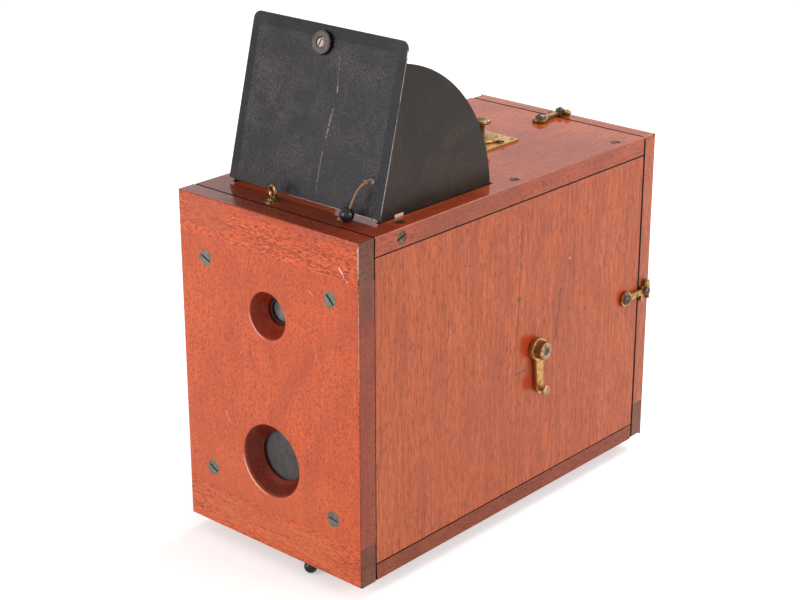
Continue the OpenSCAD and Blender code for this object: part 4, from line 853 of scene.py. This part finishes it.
# metalwork as body, finish, slot and easing
metalPieces = {
    "changing_lever": ("changing_gear", "leverBrass", "aged_brass", 0.0003),
    "lever_knob": ("changing_gear", "buttonBronze", "aged_brass", 0.00012),
    "lever_button": ("changing_gear", "buttonBronze", "aged_brass", 0.0002),
    "hook_right": ("right_hook", "agedBrass", "aged_brass", 0.0003),
    "hook_left": ("left_hook", "agedBrass", "aged_brass", 0.0003),
    "hook_top": ("top_hook", "agedBrass", "aged_brass", 0.0003),
    "dial_plate": ("case", "plateBrass", "aged_brass", 0.00015),
    "dial_pointer": ("dial", "agedBrass", "aged_brass", 0.00015),
    "dial_knob": ("dial", "capBronze", "aged_brass", 0.0002),
    "hood_knob": ("hood", "knobSteel", "steel", 0.00025),
    "hood_knob_screw": ("hood", "screwCopper", "steel", 0.0001),
    "lever_screw": ("changing_gear", "knobSteel", "steel", 0.0001),
    "keeper_screws": ("back", "hookSteel", "steel", 0.00012),
    "hook_pivot_screws": ("case", "hookSteel", "steel", 0.00012),
    "front_screws": ("case", "darkSteel", "steel", 0.00008),
    "hood_plate": ("hood", "hoodBlack", "japanned_metal", 0.00020),
    "hood_cheeks": ("hood", "cheekBlack", "japanned_metal", 0.00020),
}

# the front screws' heads, wider than their nodes' and just proud of the wood, as in the photograph
frontHeads = {"across": 0.0455, "low": 0.0345, "high": 0.158, "depth": 0.0030,
              "wider": 1.28, "proud": 0.00012}


def widenHeads(bm, heads):
    top = min(vert.co.y for vert in bm.verts)
    middle = (heads["low"] + heads["high"]) / 2
    for vert in bm.verts:
        if vert.co.y > top + heads["depth"]:
            continue
        centre = Vector((math.copysign(heads["across"], vert.co.x), vert.co.y,
                         heads["high"] if vert.co.z > middle else heads["low"]))
        vert.co = centre + (vert.co - centre) * heads["wider"]
        vert.co.y += frontFace - heads["proud"] - top


def makeMetal(nodeName, bodyName, finish, slotName, width):
    bm = openCopy(nodeName)
    if nodeName == "front_screws":
        widenHeads(bm, frontHeads)
    wear = bm.faces.layers.float.new("edgeWear")
    easeEdges(bm, sharpEdges(bm, 38), width, 2, ((wear, 1.0),))
    closePiece(bm, nodeName + "_worn", bodyName, nodeName, finish)


for nodeName, look in metalPieces.items():
    makeMetal(nodeName, *look)
print("metalwork eased:", len(metalPieces))

# turned and ground pieces as body, finish and slot, copied with smooth faces
turnedPieces = {
    "screw_eye": ("case", "eyeBronze", "aged_brass"),
    "take_lens_tube": ("case", "agedBrass", "aged_brass"),
    "view_lens_tube": ("case", "ringBlack", "japanned_metal"),
    "view_lens_glass": ("case", "lensGlass", "glass"),
    "take_lens_glass": ("case", "lensGlass", "glass"),
    "top_screws": ("case", "topScrewBronze", "steel"),
    "hood_pivot_screws": ("case", "topScrewBronze", "steel"),
    "dial_screws": ("case", "darkSteel", "steel"),
    "shutter_blade": ("shutter", "shutterMetal", "shutter_metal"),
    "release_ball": ("release", "ebony", "black_bead"),
    "cord_bead": ("hood", "ebony", "black_bead"),
}
for nodeName, (bodyName, finish, slotName) in turnedPieces.items():
    closePiece(openCopy(nodeName), nodeName + "_turned", bodyName, nodeName, finish)

# the release's spring, copied as it stands, with a mesh of its own
springPiece = closePiece(openCopy("release_spring"), "release_spring_pressed", "case", "release_spring",
                         "darkSteel")
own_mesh(springPiece)
print("release spring set")

# nodes whose CAD shape stays, with their finish
carried = {
    "plainWood": ["front_battens", "magazine_rails"],
    "blackWood": ["lens_board", "finder_partition", "finder_back", "mirror_wedges", "mirror_board",
                  "screen_battens", "screen_frame", "follower", "store_floor", "light_trap"],
    "darkSteel": ["shutter_pivot", "release_stem", "follower_springs"],
    "agedBrass": ["changing_shaft", "shaft_bush"],
    "shutterMetal": ["shutter_plate"], "sheathBlack": ["plate_sheaths"],
    "plateGlass": ["glass_plates"], "groundGlass": ["ground_glass"], "mirror": ["finder_mirror"],
    "twine": ["setting_cord"],
}
for finish, names in carried.items():
    for nodeName in names:
        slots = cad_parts[nodeName].data.materials
        if len(slots):
            for index in range(len(slots)):
                slots[index] = finishes[finish]
        else:
            slots.append(finishes[finish])
print("finishes placed on", sum(len(names) for names in carried.values()), "nodes")


# the cord and its knots
def makeStrand(name, paths, radius, finish, closed=False):
    curve = bpy.data.curves.new(name, "CURVE")
    curve.dimensions = "3D"
    curve.bevel_depth = radius
    curve.bevel_resolution = 3
    curve.use_fill_caps = True
    curve.resolution_u = 6
    for path in paths:
        spline = curve.splines.new("POLY")
        spline.points.add(len(path) - 1)
        spline.use_cyclic_u = closed
        for index, point in enumerate(path):
            spline.points[index].co = (*point, 1)
    curve.materials.append(finishes[finish])
    piece = bpy.data.objects.new(name, curve)
    bpy.context.scene.collection.objects.link(piece)
    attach(piece, "hood")
    return piece


def makeKnot(name, settings):
    # overhand knot: a three-lobed loop of the cord, drawn tight
    place = fromFront(settings["at"])
    steps = 36
    path = []
    for index in range(steps):
        t = 2 * math.pi * index / steps
        x = math.sin(t) + 2 * math.sin(2 * t)
        y = math.cos(t) - 2 * math.cos(2 * t)
        z = -math.sin(3 * t)
        path.append(place + Vector((x, z * 1.1, y)) * settings["ring"])
    return makeStrand(name, [path], settings["radius"], "twine", True)


def makeFrayedEnd(settings):
    # loose fibres of the cord's end, each with a slight bow
    root = fromFront(settings["frayedAt"])
    paths = []
    for index, tip in enumerate(settings["frayedTips"]):
        end = fromFront(tip)
        bow = Vector((0, 0, settings["fibreBow"] * (1 + index % 3)))
        paths.append([root, root.lerp(end, 0.35) + bow, root.lerp(end, 0.7) + bow, end])
    return makeStrand("frayedEnd", paths, settings["fibreRadius"], "bareTwine")


cordPath = [fromFront(point) for point in cord["route"]]
cordPiece = makeStrand("settingCord", [cordPath], cord["diameter"] / 2, "twine")
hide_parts("setting_cord")
knots = {name: makeKnot(name, settings) for name, settings in cord["knots"].items()}
frayedEnd = makeFrayedEnd(cord)

# floor, riser and light
studio = {
    "floorSize": 8.0, "floorZ": -0.0089, "floorThick": 0.01,
    "riser": ((-0.045, -0.085, -0.0089), (0.045, 0.095, -0.0001)),
    "worldLevel": 0.42, "floorColor": (0.86, 0.86, 0.86), "floorGlow": 0.42,
    "lamps": {
        "frontSoftbox": {"place": (-0.55, -1.55, 0.55), "aim": (0, -0.05, 0.08), "size": 0.9, "power": 16},
        "sideSoftbox": {"place": (1.75, 0.15, 0.75), "aim": (0.05, 0, 0.08), "size": 1.1, "power": 17},
        "rearTopSoftbox": {"place": (0.15, 1.0, 1.3), "aim": (0, 0.05, 0.15), "size": 1.1, "power": 18},
    },
}


def slab(name, low, high):
    bm = bmesh.new()
    bmesh.ops.create_cube(bm, size=1)
    bmesh.ops.scale(bm, verts=bm.verts, vec=high - low)
    bmesh.ops.translate(bm, verts=bm.verts, vec=(low + high) / 2)
    mesh = bpy.data.meshes.new(name)
    bm.to_mesh(mesh)
    bm.free()
    return bpy.data.objects.new(name, mesh)


def shownWhite(tree):
    # 1 for rays from the camera, mirrors and glass
    path = addNode(tree, "ShaderNodeLightPath").outputs
    reflected = mathNode(tree, "MAXIMUM", path["Is Glossy Ray"], path["Is Transmission Ray"])
    return mathNode(tree, "MAXIMUM", path["Is Camera Ray"], reflected)


def makeFloor(settings):
    material = bpy.data.materials.new("paleFloor")
    material.use_nodes = True
    tree = material.node_tree
    glow = times(tree, shownWhite(tree), settings["floorGlow"])
    closeMaterial(material, {
        "Base Color": settings["floorColor"], "Roughness": 0.9, "Specular IOR Level": 0.1,
        "Emission Color": (1, 1, 1), "Emission Strength": glow})
    half = settings["floorSize"] / 2
    low, high = (Vector(corner) for corner in settings["riser"])
    floor = slab("paleFloor", Vector((-half, -half, settings["floorZ"] - settings["floorThick"])),
                 Vector((half, half, settings["floorZ"])))
    for piece in (floor, slab("paleRiser", low, high)):
        piece.data.materials.append(material)
        bpy.context.scene.collection.objects.link(piece)


def makeWorld(settings):
    world = bpy.data.worlds.new("paleStudio")
    bpy.context.scene.world = world
    world.use_nodes = True
    tree = world.node_tree
    limits = {"Value": shownWhite(tree), "To Min": settings["worldLevel"], "To Max": 1.0}
    level = addNode(tree, "ShaderNodeMapRange", limits).outputs["Result"]
    setInputs(tree, tree.nodes["Background"], {"Color": (1, 1, 1), "Strength": level})


def makeLamps(lamps):
    for name, look in lamps.items():
        data = bpy.data.lights.new(name, "AREA")
        data.size = look["size"]
        data.energy = look["power"]
        lamp = bpy.data.objects.new(name, data)
        lamp.location = look["place"]
        lamp.rotation_mode = "QUATERNION"
        lamp.rotation_quaternion = (Vector(look["aim"]) - Vector(look["place"])).to_track_quat("-Z", "Y")
        bpy.context.scene.collection.objects.link(lamp)


makeFloor(studio)
makeWorld(studio)
makeLamps(studio["lamps"])
bpy.context.scene.view_settings.view_transform = "Standard"
print("studio set")
